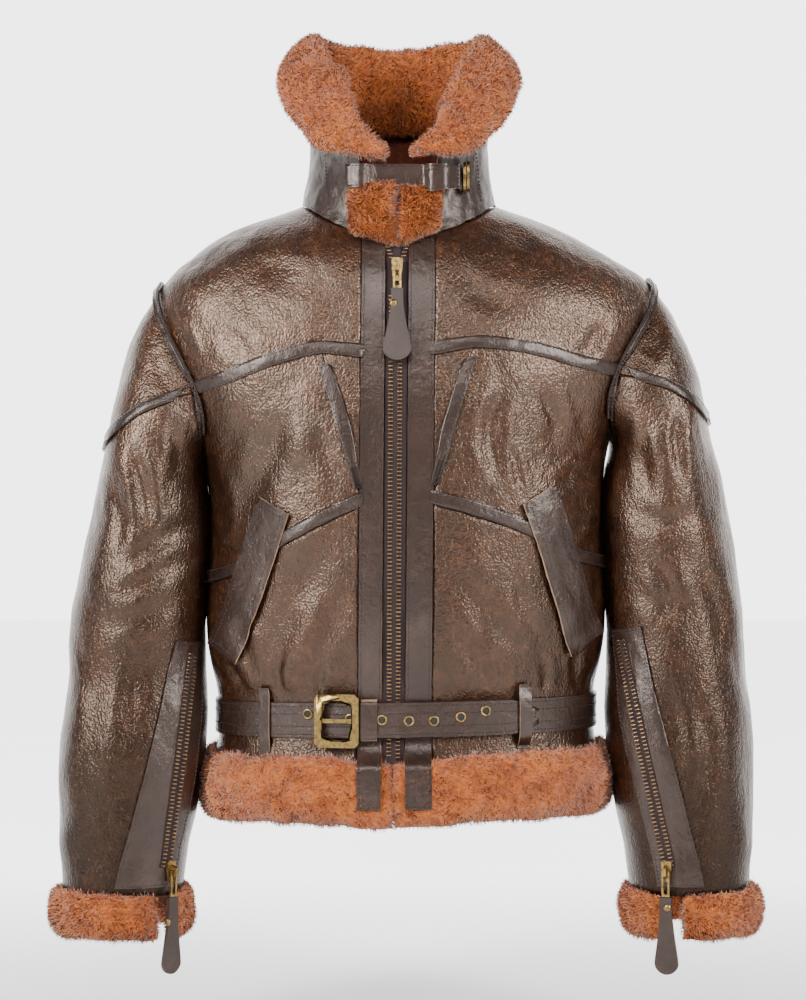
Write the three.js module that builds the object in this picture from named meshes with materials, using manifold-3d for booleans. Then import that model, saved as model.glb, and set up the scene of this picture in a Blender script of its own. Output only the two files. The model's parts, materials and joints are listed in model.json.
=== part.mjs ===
// Shearling flying jacket, filled out with no wearer. Millimetres, +Z up, front towards -Y.
// The origin is the middle of the neck, level with the side of the neckline.
import * as THREE from 'three';
import Module from 'manifold-3d';
import { mergeVertices } from 'three/addons/utils/BufferGeometryUtils.js';

const wasm = await Module();
wasm.setup();

// Sizes of the cloth
const HIDE = 4;
const SEAM_GAP = 0.3;
const TRIM = 1.5;
const LIFT = 0.5;
const TAPE_WIDTH = 10;
const ARMHOLE_LIFT = 2.5;
const ROUNDNESS = 2.3;
const HEM = -546;

// Heights on the side of the body where seams and trims sit
const SHOULDER_TIP = -78;
const UNDERARM = -236;
const WAIST_SEAM_SIDE = -364;
const BELT_MIDDLE = -503;
const BELT_WIDTH = 33;

// Rows up the body: height at the side, middle front and middle back, then the section's sizes
const BODY = [
  { side: -600, front: -600, back: -600, centre: 0, half: 193, chest: 117, rear: 110 },
  { side: -546, front: -546, back: -546, centre: 0, half: 192, chest: 116, rear: 109 },
  { side: -524, front: -524, back: -524, centre: 0, half: 187, chest: 112, rear: 106 },
  { side: -482, front: -482, back: -482, centre: 0, half: 187, chest: 112, rear: 106 },
  { side: -450, front: -450, back: -450, centre: 0, half: 196, chest: 123, rear: 115 },
  { side: -400, front: -400, back: -400, centre: 0, half: 200, chest: 129, rear: 119 },
  { side: -330, front: -330, back: -330, centre: 0, half: 197, chest: 131, rear: 120 },
  { side: -270, front: -270, back: -270, centre: 0, half: 197, chest: 131, rear: 120 },
  { side: -235, front: -235, back: -235, centre: 0, half: 205, chest: 130, rear: 120 },
  { side: -190, front: -192, back: -190, centre: 0, half: 226, chest: 127, rear: 119 },
  { side: -150, front: -156, back: -148, centre: 0, half: 243, chest: 121, rear: 117 },
  { side: -110, front: -122, back: -105, centre: 0, half: 251, chest: 115, rear: 112 },
  { side: -78, front: -96, back: -68, centre: -1, half: 243, chest: 109, rear: 104 },
  { side: -54, front: -78, back: -44, centre: -2, half: 212, chest: 104, rear: 96 },
  { side: -28, front: -61, back: -20, centre: -4, half: 168, chest: 98, rear: 85 },
  { side: -12, front: -49, back: -3, centre: -6, half: 130, chest: 92, rear: 75 },
  { side: 0, front: -38, back: 12, centre: -7, half: 97, chest: 86, rear: 66 },
];

// Largest soft folds of the body: middle, reach round and up, slant and depth
const BODY_FOLDS = [
  { turn: -58, level: -300, wide: 9, tall: 60, slant: 0.12, depth: -4 },
  { turn: 56, level: -290, wide: 9, tall: 55, slant: -0.14, depth: -4 },
  { turn: -38, level: -430, wide: 7, tall: 45, slant: 0.1, depth: -3 },
  { turn: 44, level: -440, wide: 7, tall: 42, slant: -0.12, depth: -3 },
  { turn: -72, level: -420, wide: 8, tall: 46, slant: 0, depth: 4 },
  { turn: 73, level: -425, wide: 8, tall: 44, slant: 0, depth: 4 },
  { turn: 140, level: -300, wide: 12, tall: 70, slant: 0.2, depth: -4 },
  { turn: 218, level: -310, wide: 12, tall: 66, slant: -0.2, depth: -4 },
  { turn: 165, level: -430, wide: 9, tall: 40, slant: 0, depth: 3 },
  { turn: 198, level: -425, wide: 9, tall: 44, slant: 0, depth: 3 },
];

// The jacket hangs a little lower on one side: slope against height
const HANG = [
  { height: -700, slope: 0 },
  { height: -640, slope: 0.006 },
  { height: -560, slope: 0.02 },
  { height: -490, slope: 0.016 },
  { height: -400, slope: 0.034 },
  { height: -300, slope: 0.042 },
  { height: -170, slope: 0.042 },
  { height: -120, slope: 0.026 },
  { height: -50, slope: 0 },
  { height: 0, slope: 0 },
];

// Armhole, as an oval round the side of the body
const ARMHOLE_MIDDLE = (SHOULDER_TIP + UNDERARM) / 2;
const ARMHOLE_HALF = (SHOULDER_TIP - UNDERARM) / 2;
const ARMHOLE_TURN = 28.6;
const ARMHOLE_EGG = 0.3;
const ARMHOLE_NODES = 28;
const YOKE_NODE = 8;

// Rows down the sleeve, on the +X side
const ARM = [
  { height: -250, out: 255, fore: -2, half: 49, deep: 80, lean: 14 },
  { height: -330, out: 261.5, fore: -8, half: 58, deep: 78, lean: 11 },
  { height: -400, out: 267, fore: -14, half: 64, deep: 75, lean: 8 },
  { height: -470, out: 271, fore: -20, half: 68.5, deep: 72, lean: 5 },
  { height: -540, out: 274.5, fore: -27, half: 68.5, deep: 69, lean: 2 },
  { height: -600, out: 276, fore: -32, half: 66, deep: 65, lean: 0 },
  { height: -650, out: 277.5, fore: -36, half: 61, deep: 61, lean: 0 },
  { height: -676, out: 279, fore: -38, half: 59, deep: 59, lean: 0 },
];
const SLEEVE_FOLDS = [
  { turn: 150, row: 0.7, wide: 40, tall: 0.5, depth: -5 },
  { turn: 205, row: 1.2, wide: 34, tall: 0.35, depth: -5 },
  { turn: 60, row: 2.1, wide: 30, tall: 0.35, depth: -4 },
  { turn: 100, row: 2.9, wide: 40, tall: 0.3, depth: 4 },
  { turn: 75, row: 3.7, wide: 36, tall: 0.35, depth: -4 },
  { turn: 250, row: 2.6, wide: 40, tall: 0.35, depth: -4 },
  { turn: 290, row: 4.3, wide: 40, tall: 0.4, depth: 4 },
  { turn: 20, row: 4.6, wide: 30, tall: 0.4, depth: -3 },
];

const SIDES = [
  { name: 'right', sign: -1 },
  { name: 'left', sign: 1 },
];

// Colours of the pieces
const finish = (color, roughness, metalness) => (
  () => new THREE.MeshStandardMaterial({ color, roughness, metalness })
);
const hide = finish('#5a4033', 0.42, 0);
const trim = finish('#3b2924', 0.32, 0);
const wool = finish('#c4703f', 0.95, 0);
const brass = finish('#9a7c46', 0.38, 1);
const webbing = finish('#4a2f2c', 0.8, 0);

const jacket = new THREE.Group();

// Small helpers
const vec = (x, y, z) => new THREE.Vector3(x, y, z);
const degrees = (angle) => (angle * Math.PI) / 180;
const bend = (value, power) => Math.sign(value) * Math.abs(value) ** power;
const mix = (a, b, share) => a + (b - a) * share;
const between = (low, high, value) => Math.min(Math.max((value - low) / (high - low), 0), 1);
const eased = (low, high, value) => {
  const share = between(low, high, value);
  return share * share * (3 - 2 * share);
};

// Smooth value of one column of a table at a place in its rising key
function column(rows, key, name, at) {
  const last = rows.length - 1;
  if (at <= rows[0][key]) return rows[0][name];
  if (at >= rows[last][key]) return rows[last][name];
  let row = 0;
  while (rows[row + 1][key] < at) row += 1;
  const slope = (middle) => {
    const before = rows[Math.max(middle - 1, 0)];
    const after = rows[Math.min(middle + 1, last)];
    return (after[name] - before[name]) / (after[key] - before[key]);
  };
  const step = rows[row + 1][key] - rows[row][key];
  const part = (at - rows[row][key]) / step;
  const square = part * part;
  const cube = square * part;
  return (2 * cube - 3 * square + 1) * rows[row][name]
    + (cube - 2 * square + part) * step * slope(row)
    + (3 * square - 2 * cube) * rows[row + 1][name]
    + (cube - square) * step * slope(row + 1);
}

// The whole jacket's slight slope, the last thing done to every point
function hang(point) {
  return vec(point.x, point.y, point.z + point.x * column(HANG, 'height', 'slope', point.z));
}

// Body surface: turn is 0 at the front, 90 on the +X side and 180 at the back
function bodyFold(turn, level) {
  const round = ((turn + 90) % 360 + 360) % 360 - 90;
  let depth = 0;
  for (const fold of BODY_FOLDS) {
    const drift = (round - fold.turn - fold.slant * (level - fold.level)) / fold.wide;
    const rise = (level - fold.level) / fold.tall;
    depth += fold.depth * Math.exp(-drift * drift - rise * rise);
  }
  return depth;
}
function bodyShape(turn, level) {
  const row = (name) => column(BODY, 'side', name, level);
  const across = Math.sin(degrees(turn));
  const ahead = Math.cos(degrees(turn));
  const depth = ahead > 0 ? row('chest') : row('rear');
  const height = ahead > 0 ? row('front') : row('back');
  const fold = 1 + bodyFold(turn, level) / 150;
  return vec(
    row('centre') + row('half') * fold * bend(across, 2 / ROUNDNESS),
    -depth * fold * bend(ahead, 2 / ROUNDNESS),
    mix(level, height, ahead * ahead),
  );
}
function bodyAt(turn, level, lift = 0) {
  const round = bodyShape(turn + 1, level).sub(bodyShape(turn - 1, level));
  const up = bodyShape(turn, Math.min(level + 2, 0)).sub(bodyShape(turn, level - 2));
  const normal = round.cross(up).normalize();
  return { point: bodyShape(turn, level).addScaledVector(normal, lift), normal };
}
// Turn and level of the front surface where it is seen at x and z
function onFront(x, z) {
  let level = z;
  let turn = 0;
  for (let round = 0; round < 12; round += 1) {
    const share = (x - column(BODY, 'side', 'centre', level)) / column(BODY, 'side', 'half', level);
    turn = Math.asin(Math.min(Math.max(bend(share, ROUNDNESS / 2), -1), 1)) * (180 / Math.PI);
    level = Math.min(level + z - bodyShape(turn, level).z, 0);
  }
  return { turn, level };
}

// Walls between an outer and an inner grid of points
function addMesh(name, material, geometry, parent = jacket) {
  const mesh = new THREE.Mesh(geometry, material());
  mesh.name = name;
  parent.add(mesh);
  return mesh;
}
function solidOf(points, faces) {
  const geometry = new THREE.BufferGeometry();
  geometry.setAttribute('position', new THREE.Float32BufferAttribute(points, 3));
  geometry.setIndex(faces);
  geometry.computeVertexNormals();
  return geometry;
}
// Signed volume, to turn a solid's faces outwards
function facingOut(points, faces) {
  let volume = 0;
  const corner = (index) => vec(points[3 * index], points[3 * index + 1], points[3 * index + 2]);
  for (let face = 0; face < faces.length; face += 3) {
    const [a, b, c] = [corner(faces[face]), corner(faces[face + 1]), corner(faces[face + 2])];
    volume += a.dot(b.cross(c));
  }
  if (volume > 0) return faces;
  const turned = [];
  for (let face = 0; face < faces.length; face += 3) {
    turned.push(faces[face], faces[face + 2], faces[face + 1]);
  }
  return turned;
}
// outer and inner are grids [i][j] of points; a ring closes on itself along i
function skinned(outer, inner, ring = false) {
  const points = [];
  const across = outer[0].length;
  const along = outer.length;
  for (const grid of [outer, inner]) {
    for (const line of grid) for (const point of line) points.push(...hang(point).toArray());
  }
  const at = (layer, i, j) => layer * along * across + (i % along) * across + j;
  const faces = [];
  const quad = (a, b, c, d) => faces.push(a, b, c, a, c, d);
  const steps = ring ? along : along - 1;
  for (let i = 0; i < steps; i += 1) {
    for (let j = 0; j + 1 < across; j += 1) {
      quad(at(0, i, j), at(0, i + 1, j), at(0, i + 1, j + 1), at(0, i, j + 1));
      quad(at(1, i, j), at(1, i, j + 1), at(1, i + 1, j + 1), at(1, i + 1, j));
    }
    quad(at(1, i, 0), at(1, i + 1, 0), at(0, i + 1, 0), at(0, i, 0));
    quad(at(0, i, across - 1), at(0, i + 1, across - 1), at(1, i + 1, across - 1), at(1, i, across - 1));
  }
  for (let j = 0; !ring && j + 1 < across; j += 1) {
    quad(at(0, 0, j), at(0, 0, j + 1), at(1, 0, j + 1), at(1, 0, j));
    quad(at(1, along - 1, j), at(1, along - 1, j + 1), at(0, along - 1, j + 1), at(0, along - 1, j));
  }
  return solidOf(points, facingOut(points, faces));
}
// Draws the open edges of a grid back from its seams
function drawnIn(grid, ring = false, by = SEAM_GAP) {
  const along = grid.length;
  const across = grid[0].length;
  const pulled = (cell, towards) => {
    const way = towards.point.clone().sub(cell.point).normalize();
    return { point: cell.point.clone().addScaledVector(way, by), normal: cell.normal };
  };
  const short = grid.map((line) => line.map((cell, j) => {
    if (j === 0) return pulled(cell, line[1]);
    if (j === across - 1) return pulled(cell, line[across - 2]);
    return cell;
  }));
  if (ring) return short;
  return short.map((line, i) => line.map((cell, j) => {
    if (i === 0) return pulled(cell, short[1][j]);
    if (i === along - 1) return pulled(cell, short[along - 2][j]);
    return cell;
  }));
}
const lifted = (grid, by) => grid.map((line) => line.map((cell) => (
  cell.point.clone().addScaledVector(cell.normal, by)
)));
function wall(name, material, grid, ring = false, top = 0, thick = HIDE, by = SEAM_GAP) {
  const cut = drawnIn(grid, ring, by);
  addMesh(name, material, skinned(lifted(cut, top), lifted(cut, top - thick), ring));
}

// Curves on the body, as lists of { turn, level }
const TURN_SIZE = 2.4;
function seamThrough(stops, steps) {
  const path = stops.map((stop) => vec(stop.turn * TURN_SIZE, stop.level, 0));
  const curve = new THREE.CatmullRomCurve3(path, false, 'centripetal');
  return curve.getSpacedPoints(steps).map((at) => ({ turn: at.x / TURN_SIZE, level: at.y }));
}
const seamLine = (from, to, steps) => Array.from({ length: steps + 1 }, (_, k) => (
  { turn: mix(from.turn, to.turn, k / steps), level: mix(from.level, to.level, k / steps) }
));
const armholeNode = (sign, k) => {
  const phase = (2 * Math.PI * k) / ARMHOLE_NODES;
  const swing = ARMHOLE_TURN * Math.sin(phase) * (1 - ARMHOLE_EGG * Math.cos(phase));
  return {
    turn: sign * (90 - swing),
    level: ARMHOLE_MIDDLE + ARMHOLE_HALF * Math.cos(phase),
  };
};
const armholeRun = (sign, from, to) => Array.from(
  { length: Math.abs(to - from) + 1 },
  (_, k) => armholeNode(sign, from + k * Math.sign(to - from)),
);
// Four edges, left and right running up, make a grid of { turn, level }
function patch(bottom, top, left, right) {
  const columns = bottom.length - 1;
  const rows = left.length - 1;
  return bottom.map((low, i) => left.map((near, j) => {
    const u = i / columns;
    const v = j / rows;
    const blend = (key) => (
      (1 - v) * low[key] + v * top[i][key] + (1 - u) * near[key] + u * right[j][key]
      - (1 - u) * (1 - v) * bottom[0][key] - u * (1 - v) * bottom[columns][key]
      - (1 - u) * v * top[0][key] - u * v * top[columns][key]
    );
    return { turn: blend('turn'), level: blend('level') };
  }));
}
const onBody = (grid) => grid.map((line) => line.map((at) => bodyAt(at.turn, at.level)));

// Front closure: the zip's middle, and the strips either side of it
const ZIP_TOP = -8.6;
const ZIP_FOOT = -12.4;
const ZIP_HALF = 11;
const zipMiddle = (level) => mix(ZIP_TOP, ZIP_FOOT, between(-40, -540, level));
const FACING_EDGE = { '-1': -34, 1: 36.5 };
function frontEdge(sign, level, offset = FACING_EDGE[sign]) {
  const x = zipMiddle(level) + offset;
  const share = (x - column(BODY, 'side', 'centre', level)) / column(BODY, 'side', 'half', level);
  return { turn: Math.asin(bend(share, ROUNDNESS / 2)) * (180 / Math.PI), level };
}
const edgeRun = (sign, from, to, steps) => Array.from({ length: steps + 1 }, (_, k) => (
  frontEdge(sign, mix(from, to, k / steps))
));

// Panels, kept as grids so that the tapes can be laid on their seams
const panels = {};
function panel(name, grid) {
  panels[name] = onBody(grid);
  wall(name, hide, panels[name]);
}
const GORE_REACH = 39;
const YOKE_LEVEL = -142;
const GORE_FOOT = -262;
const GORE_TIP = 3;
const WAIST_FRONT = -291;
const NECK_COLUMNS = 6;
const SHOULDER_COLUMNS = 5;
const GORE_COLUMNS = 2;
const FRONT_COLUMNS = NECK_COLUMNS + SHOULDER_COLUMNS - GORE_COLUMNS;
const HALF_NODES = ARMHOLE_NODES / 2;
const SIDE_ROWS = 4;
const GORE_ROWS = 5;
const SKIRT_LEVELS = [HEM, -524, -503, -482, -450, -405];
const BACK_COLUMNS = 2 * SHOULDER_COLUMNS + 8;
// One column of a panel below the waist seam, which ends on the seam's own point
const skirtRun = (seam, place) => [
  ...SKIRT_LEVELS.map((level) => ({ turn: place(level), level })),
  seam,
];

for (const { name, sign } of SIDES) {
  const corner = frontEdge(sign, YOKE_LEVEL);
  const goreTop = onFront(zipMiddle(YOKE_LEVEL) + FACING_EDGE[sign] + sign * GORE_REACH, YOKE_LEVEL - 1);
  const goreYoke = seamLine(corner, goreTop, GORE_COLUMNS);
  const sideYoke = seamThrough([
    goreTop, onFront(sign * 116, -150), onFront(sign * 172, -167), armholeNode(sign, YOKE_NODE),
  ], FRONT_COLUMNS);
  const neckSide = { turn: sign * 90, level: 0 };
  const neckFront = frontEdge(sign, 0);
  const tip = armholeNode(sign, 0);
  panel(`front_upper_${name}`, patch(
    [...goreYoke, ...sideYoke.slice(1)],
    [...seamLine(neckFront, neckSide, NECK_COLUMNS), ...seamLine(neckSide, tip, SHOULDER_COLUMNS).slice(1)],
    edgeRun(sign, YOKE_LEVEL, 0, YOKE_NODE),
    armholeRun(sign, YOKE_NODE, 0),
  ));
  const goreFoot = frontEdge(sign, GORE_FOOT);
  const goreHeel = { turn: goreFoot.turn + sign * GORE_TIP / TURN_SIZE, level: GORE_FOOT };
  const diagonal = seamLine(goreHeel, goreTop, GORE_ROWS);
  panel(`front_gore_${name}`, patch(
    seamLine(goreFoot, goreHeel, GORE_COLUMNS),
    goreYoke,
    edgeRun(sign, GORE_FOOT, YOKE_LEVEL, GORE_ROWS),
    diagonal,
  ));
  const waistFront = frontEdge(sign, WAIST_FRONT);
  const waistSide = { turn: sign * 90, level: WAIST_SEAM_SIDE };
  const waist = seamThrough([
    waistFront, onFront(sign * 112, -322), onFront(sign * 163, -352), waistSide,
  ], FRONT_COLUMNS);
  const underarm = armholeNode(sign, HALF_NODES);
  const below = HALF_NODES - YOKE_NODE + SIDE_ROWS - GORE_ROWS;
  panel(`front_side_${name}`, patch(
    waist,
    sideYoke,
    [...seamLine(waistFront, goreHeel, below), ...diagonal.slice(1)],
    [...seamLine(waistSide, underarm, SIDE_ROWS), ...armholeRun(sign, HALF_NODES, YOKE_NODE).slice(1)],
  ));
  panel(`front_lower_${name}`, waist.map((seam, i) => skirtRun(seam, (level) => (
    mix(frontEdge(sign, level).turn, sign * 90, i / FRONT_COLUMNS)
  ))));
}

// Back, in one piece from side to side at each height
const BACK_YOKE = -166;
const BACK_WAIST = -352;
const backTurns = (low, high) => Array.from(
  { length: BACK_COLUMNS + 1 },
  (_, k) => mix(low, high, k / BACK_COLUMNS),
);
const backArm = (k) => armholeNode(1, ARMHOLE_NODES - k);
const mirrored = (at) => ({ turn: 360 - at.turn, level: at.level });
const yokeEnd = backArm(YOKE_NODE);
const backYoke = backTurns(yokeEnd.turn, 360 - yokeEnd.turn).map((turn) => ({
  turn,
  level: mix(BACK_YOKE, yokeEnd.level, ((turn - 180) / (yokeEnd.turn - 180)) ** 2),
}));
const shoulderRun = seamLine({ turn: 90, level: SHOULDER_TIP }, { turn: 90, level: 0 }, SHOULDER_COLUMNS);
const neckRun = seamLine(
  { turn: 90, level: 0 },
  { turn: 270, level: 0 },
  BACK_COLUMNS - 2 * SHOULDER_COLUMNS,
);
const backUp = Array.from({ length: YOKE_NODE + 1 }, (_, k) => backArm(YOKE_NODE - k));
panel('back_yoke', patch(
  backYoke,
  [...shoulderRun, ...neckRun.slice(1), ...shoulderRun.slice(0, -1).reverse().map(mirrored)],
  backUp,
  backUp.map(mirrored),
));
const backWaist = backTurns(90, 270).map((turn) => ({
  turn,
  level: mix(BACK_WAIST, WAIST_SEAM_SIDE, ((turn - 180) / 90) ** 2),
}));
const backSide = [
  ...seamLine({ turn: 90, level: WAIST_SEAM_SIDE }, { turn: 90, level: UNDERARM }, SIDE_ROWS),
  ...Array.from({ length: HALF_NODES - YOKE_NODE }, (_, k) => backArm(HALF_NODES - 1 - k)),
];
panel('back_body', patch(backWaist, backYoke, backSide, backSide.map(mirrored)));
panel('back_lower', backWaist.map((seam) => skirtRun(seam, () => seam.turn)));

// Sleeves: rows run from the armhole, through a bend, down to the cuff
const ARM_SQUARENESS = 2.2;
const SHOULDER_SWELL = 0.22;
const NORMAL_STEP = { turn: 2, row: 0.02 };
const ARM_RISING = [...ARM].reverse();
function armPoint(sign, phase, height) {
  const row = (name) => column(ARM_RISING, 'height', name, height);
  const lean = degrees(row('lean'));
  const wide = row('half') * bend(Math.cos(phase), 2 / ARM_SQUARENESS);
  const deep = row('deep') * bend(Math.sin(phase), 2 / ARM_SQUARENESS);
  return vec(
    sign * (row('out') + wide * Math.cos(lean)),
    row('fore') - deep,
    height + wide * Math.sin(lean),
  );
}
// row runs 0 to 1 over the bend and then one for each row of the table
function sleeveShape(sign, turn, row) {
  const phase = degrees(turn);
  const first = armPoint(sign, phase, ARM[0].height);
  if (row >= 1) {
    const place = Math.min(row - 1, ARM.length - 1);
    const low = Math.min(Math.floor(place), ARM.length - 2);
    const height = mix(ARM[low].height, ARM[low + 1].height, place - low);
    return armPoint(sign, phase, height);
  }
  const swing = ARMHOLE_TURN * Math.sin(phase) * (1 - ARMHOLE_EGG * Math.cos(phase));
  const start = bodyShape(sign * (90 - swing), ARMHOLE_MIDDLE + ARMHOLE_HALF * Math.cos(phase));
  const chord = first.clone().sub(start);
  const reach = chord.length();
  const swell = vec(sign * Math.cos(phase), -Math.sin(phase), 0)
    .multiplyScalar(SHOULDER_SWELL * (1 + Math.cos(phase)));
  const leave = chord.clone().normalize().add(swell).normalize().multiplyScalar(reach);
  const ahead = armPoint(sign, phase, ARM[0].height - 5).sub(first).normalize().multiplyScalar(reach);
  const square = row * row;
  const cube = square * row;
  return start.multiplyScalar(2 * cube - 3 * square + 1)
    .addScaledVector(leave, cube - 2 * square + row)
    .addScaledVector(first, 3 * square - 2 * cube)
    .addScaledVector(ahead, cube - square);
}
function sleeveAt(sign, turn, row, lift = 0) {
  const round = sleeveShape(sign, turn + NORMAL_STEP.turn, row)
    .sub(sleeveShape(sign, turn - NORMAL_STEP.turn, row));
  const last = ARM.length;
  const below = sleeveShape(sign, turn, Math.min(row + NORMAL_STEP.row, last));
  const above = sleeveShape(sign, turn, Math.max(row - NORMAL_STEP.row, 0));
  const down = below.sub(above);
  const normal = down.cross(round).normalize().multiplyScalar(-sign);
  let fold = 0;
  for (const crease of SLEEVE_FOLDS) {
    const drift = ((turn - crease.turn + 540) % 360 - 180) / crease.wide;
    const rise = (row - crease.row) / crease.tall;
    fold += crease.depth * Math.exp(-drift * drift - rise * rise);
  }
  fold *= eased(0, 0.6, row) * (1 - eased(last - 1.2, last - 0.2, row));
  return { point: sleeveShape(sign, turn, row).addScaledVector(normal, fold + lift), normal };
}
const CAP_TURN = (360 * YOKE_NODE) / ARMHOLE_NODES;
const CAP_DROP = 0.93;
const CAP_CORNER = 0.05;
const CAP_CURVE = 2.3;
const capRow = (turn) => {
  const share = Math.abs(turn) / CAP_TURN;
  return share >= 1 ? 0 : CAP_CORNER + (CAP_DROP - CAP_CORNER) * (1 - share ** CAP_CURVE);
};
const CAP_ROWS = 4;
const LOWER_ROWS = [0, 0.5, 1, 1.8, 2.6, 3.5, 4.4, 5.3, 6.4, 8];
const sleeveTurns = Array.from({ length: ARMHOLE_NODES }, (_, k) => (
  ((k + HALF_NODES) % ARMHOLE_NODES - HALF_NODES) * (360 / ARMHOLE_NODES)
));
for (const { name, sign } of SIDES) {
  const capTurns = Array.from(
    { length: 2 * YOKE_NODE + 1 },
    (_, k) => (k - YOKE_NODE) * (360 / ARMHOLE_NODES),
  );
  panels[`sleeve_cap_${name}`] = capTurns.map((turn) => Array.from({ length: CAP_ROWS + 1 }, (_, k) => (
    sleeveAt(sign, turn, (Math.max(capRow(turn), CAP_CORNER) * k) / CAP_ROWS)
  )));
  wall(`sleeve_cap_${name}`, hide, panels[`sleeve_cap_${name}`]);
  panels[`sleeve_lower_${name}`] = sleeveTurns.map((turn) => LOWER_ROWS.map((row) => {
    const start = Math.max(capRow(turn), Math.abs(turn) <= CAP_TURN ? CAP_CORNER : 0);
    const place = row < 1 ? mix(start, 1, row) : row;
    return sleeveAt(sign, turn, place);
  }));
  wall(`sleeve_lower_${name}`, hide, panels[`sleeve_lower_${name}`], true);
}

// Tapes lie on the points of the two panels that meet at a seam
// seam, near and far are lists of cells: the seam's own, and the next points of each panel
function tape(name, seam, near, far, lift = LIFT) {
  const half = TAPE_WIDTH / 2;
  const grid = seam.map((cell, k) => {
    const beside = (other) => {
      const way = other.point.clone().sub(cell.point);
      const share = Math.min(half / way.length(), 1);
      const normal = cell.normal.clone().lerp(other.normal, share).normalize();
      return { point: cell.point.clone().addScaledVector(way, share), normal };
    };
    return [beside(near[k]), cell, beside(far[k])];
  });
  const cut = drawnIn(grid, false, SEAM_GAP);
  addMesh(name, trim, skinned(lifted(cut, lift + TRIM), lifted(cut, lift)));
}
const topOf = (grid, back = 0) => grid.map((line) => line[line.length - 1 - back]);
const footOf = (grid, up = 0) => grid.map((line) => line[up]);
for (const { name } of SIDES) {
  const upper = panels[`front_upper_${name}`];
  const gore = panels[`front_gore_${name}`];
  const side = panels[`front_side_${name}`];
  const lower = panels[`front_lower_${name}`];
  tape(`yoke_tape_${name}`, footOf(upper), footOf(upper, 1), [
    ...topOf(gore, 1), ...topOf(side, 1).slice(1),
  ]);
  const rise = side[0].length - gore[0].length;
  const inner = gore[gore.length - 1];
  tape(
    `gore_tape_${name}`,
    inner.slice(0, -1),
    gore[gore.length - 2].slice(0, -1),
    side[1].slice(rise, -1),
  );
  tape(
    `waist_tape_${name}`,
    topOf(lower).slice(0, -1),
    topOf(lower, 1).slice(0, -1),
    footOf(side, 1).slice(0, -1),
  );
}
const { back_yoke: yokeGrid, back_body: bodyGrid, back_lower: lowerGrid } = panels;
tape('yoke_tape_back', footOf(yokeGrid), footOf(yokeGrid, 1), topOf(bodyGrid, 1));
tape('waist_tape_back', footOf(bodyGrid), footOf(bodyGrid, 1), topOf(lowerGrid, 1));

// Round each armhole, from the shoulder forwards, and over each sleeve below its cap
for (const { name, sign } of SIDES) {
  const upper = panels[`front_upper_${name}`];
  const side = panels[`front_side_${name}`];
  const cap = panels[`sleeve_cap_${name}`];
  const lower = panels[`sleeve_lower_${name}`];
  const yokeColumn = (from) => (sign > 0 ? yokeGrid[from] : yokeGrid[yokeGrid.length - 1 - from]);
  const bodyColumn = (from) => (sign > 0 ? bodyGrid[from] : bodyGrid[bodyGrid.length - 1 - from]);
  const bodyCells = (step) => Array.from({ length: ARMHOLE_NODES }, (_, k) => {
    const back = ARMHOLE_NODES - k;
    if (k <= YOKE_NODE) return upper[upper.length - 1 - step][YOKE_NODE - k];
    if (k <= HALF_NODES) return side[side.length - 1 - step][SIDE_ROWS + HALF_NODES - k];
    if (back > YOKE_NODE) return bodyColumn(step)[SIDE_ROWS + HALF_NODES - back];
    return yokeColumn(step)[YOKE_NODE - back];
  });
  const sleeveCells = Array.from({ length: ARMHOLE_NODES }, (_, k) => {
    const turn = k <= HALF_NODES ? k : k - ARMHOLE_NODES;
    return Math.abs(turn) <= YOKE_NODE ? cap[turn + YOKE_NODE][1] : lower[k][1];
  });
  const seam = bodyCells(0);
  const joined = seam.map((cell, k) => {
    const sleeve = sleeveCells[k];
    return { point: cell.point, normal: cell.normal.clone().add(sleeve.normal).normalize() };
  });
  const dropped = 3;
  const open = [...joined.slice(HALF_NODES + dropped), ...joined.slice(0, HALF_NODES - dropped + 1)];
  const pick = (cells) => [
    ...cells.slice(HALF_NODES + dropped),
    ...cells.slice(0, HALF_NODES - dropped + 1),
  ];
  tape(`armhole_tape_${name}`, open, pick(bodyCells(1)), pick(sleeveCells), ARMHOLE_LIFT);
  const capFoot = topOf(cap).slice(1, -1);
  const lowerTop = capFoot.map((_, k) => lower[(k + 1 - YOKE_NODE + ARMHOLE_NODES) % ARMHOLE_NODES][1]);
  tape(`sleeve_tape_${name}`, capFoot, topOf(cap, 1).slice(1, -1), lowerTop);
}

// Strip down the front beside the zip; it rises over the fur at the hem
const FACING_FOOT = -588;
const FACING_LEVELS = [
  -4, -30, -60, -100, -145, -195, -245, -295, -345, -395, -440, -478, -503, -522, -534, -548, -568, FACING_FOOT,
];
const FACING_RISE = 1.3;
const FACING_OVER_FUR = 13.5;
const FACING_THICK = { overFur: 2.6, overHide: 3.4 };
const overHide = (level) => eased(-549, -531, level);
const facingTop = (level) => mix(FACING_OVER_FUR, FACING_RISE, overHide(level));
const facingFoot = (level) => (
  facingTop(level) - mix(FACING_THICK.overFur, FACING_THICK.overHide, overHide(level))
);
const zipSide = { '-1': -ZIP_HALF, 1: ZIP_HALF };
for (const { name, sign } of SIDES) {
  const grid = FACING_LEVELS.map((level) => [zipSide[sign], FACING_EDGE[sign]].map((offset) => {
    const at = frontEdge(sign, level, offset);
    return bodyAt(at.turn, level);
  }));
  const cut = drawnIn(grid, false, SEAM_GAP);
  const shell = (by) => cut.map((line, i) => line.map((cell) => (
    cell.point.clone().addScaledVector(cell.normal, by(FACING_LEVELS[i]))
  )));
  addMesh(`zip_facing_${name}`, trim, skinned(shell(facingTop), shell(facingFoot)));
}

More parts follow.
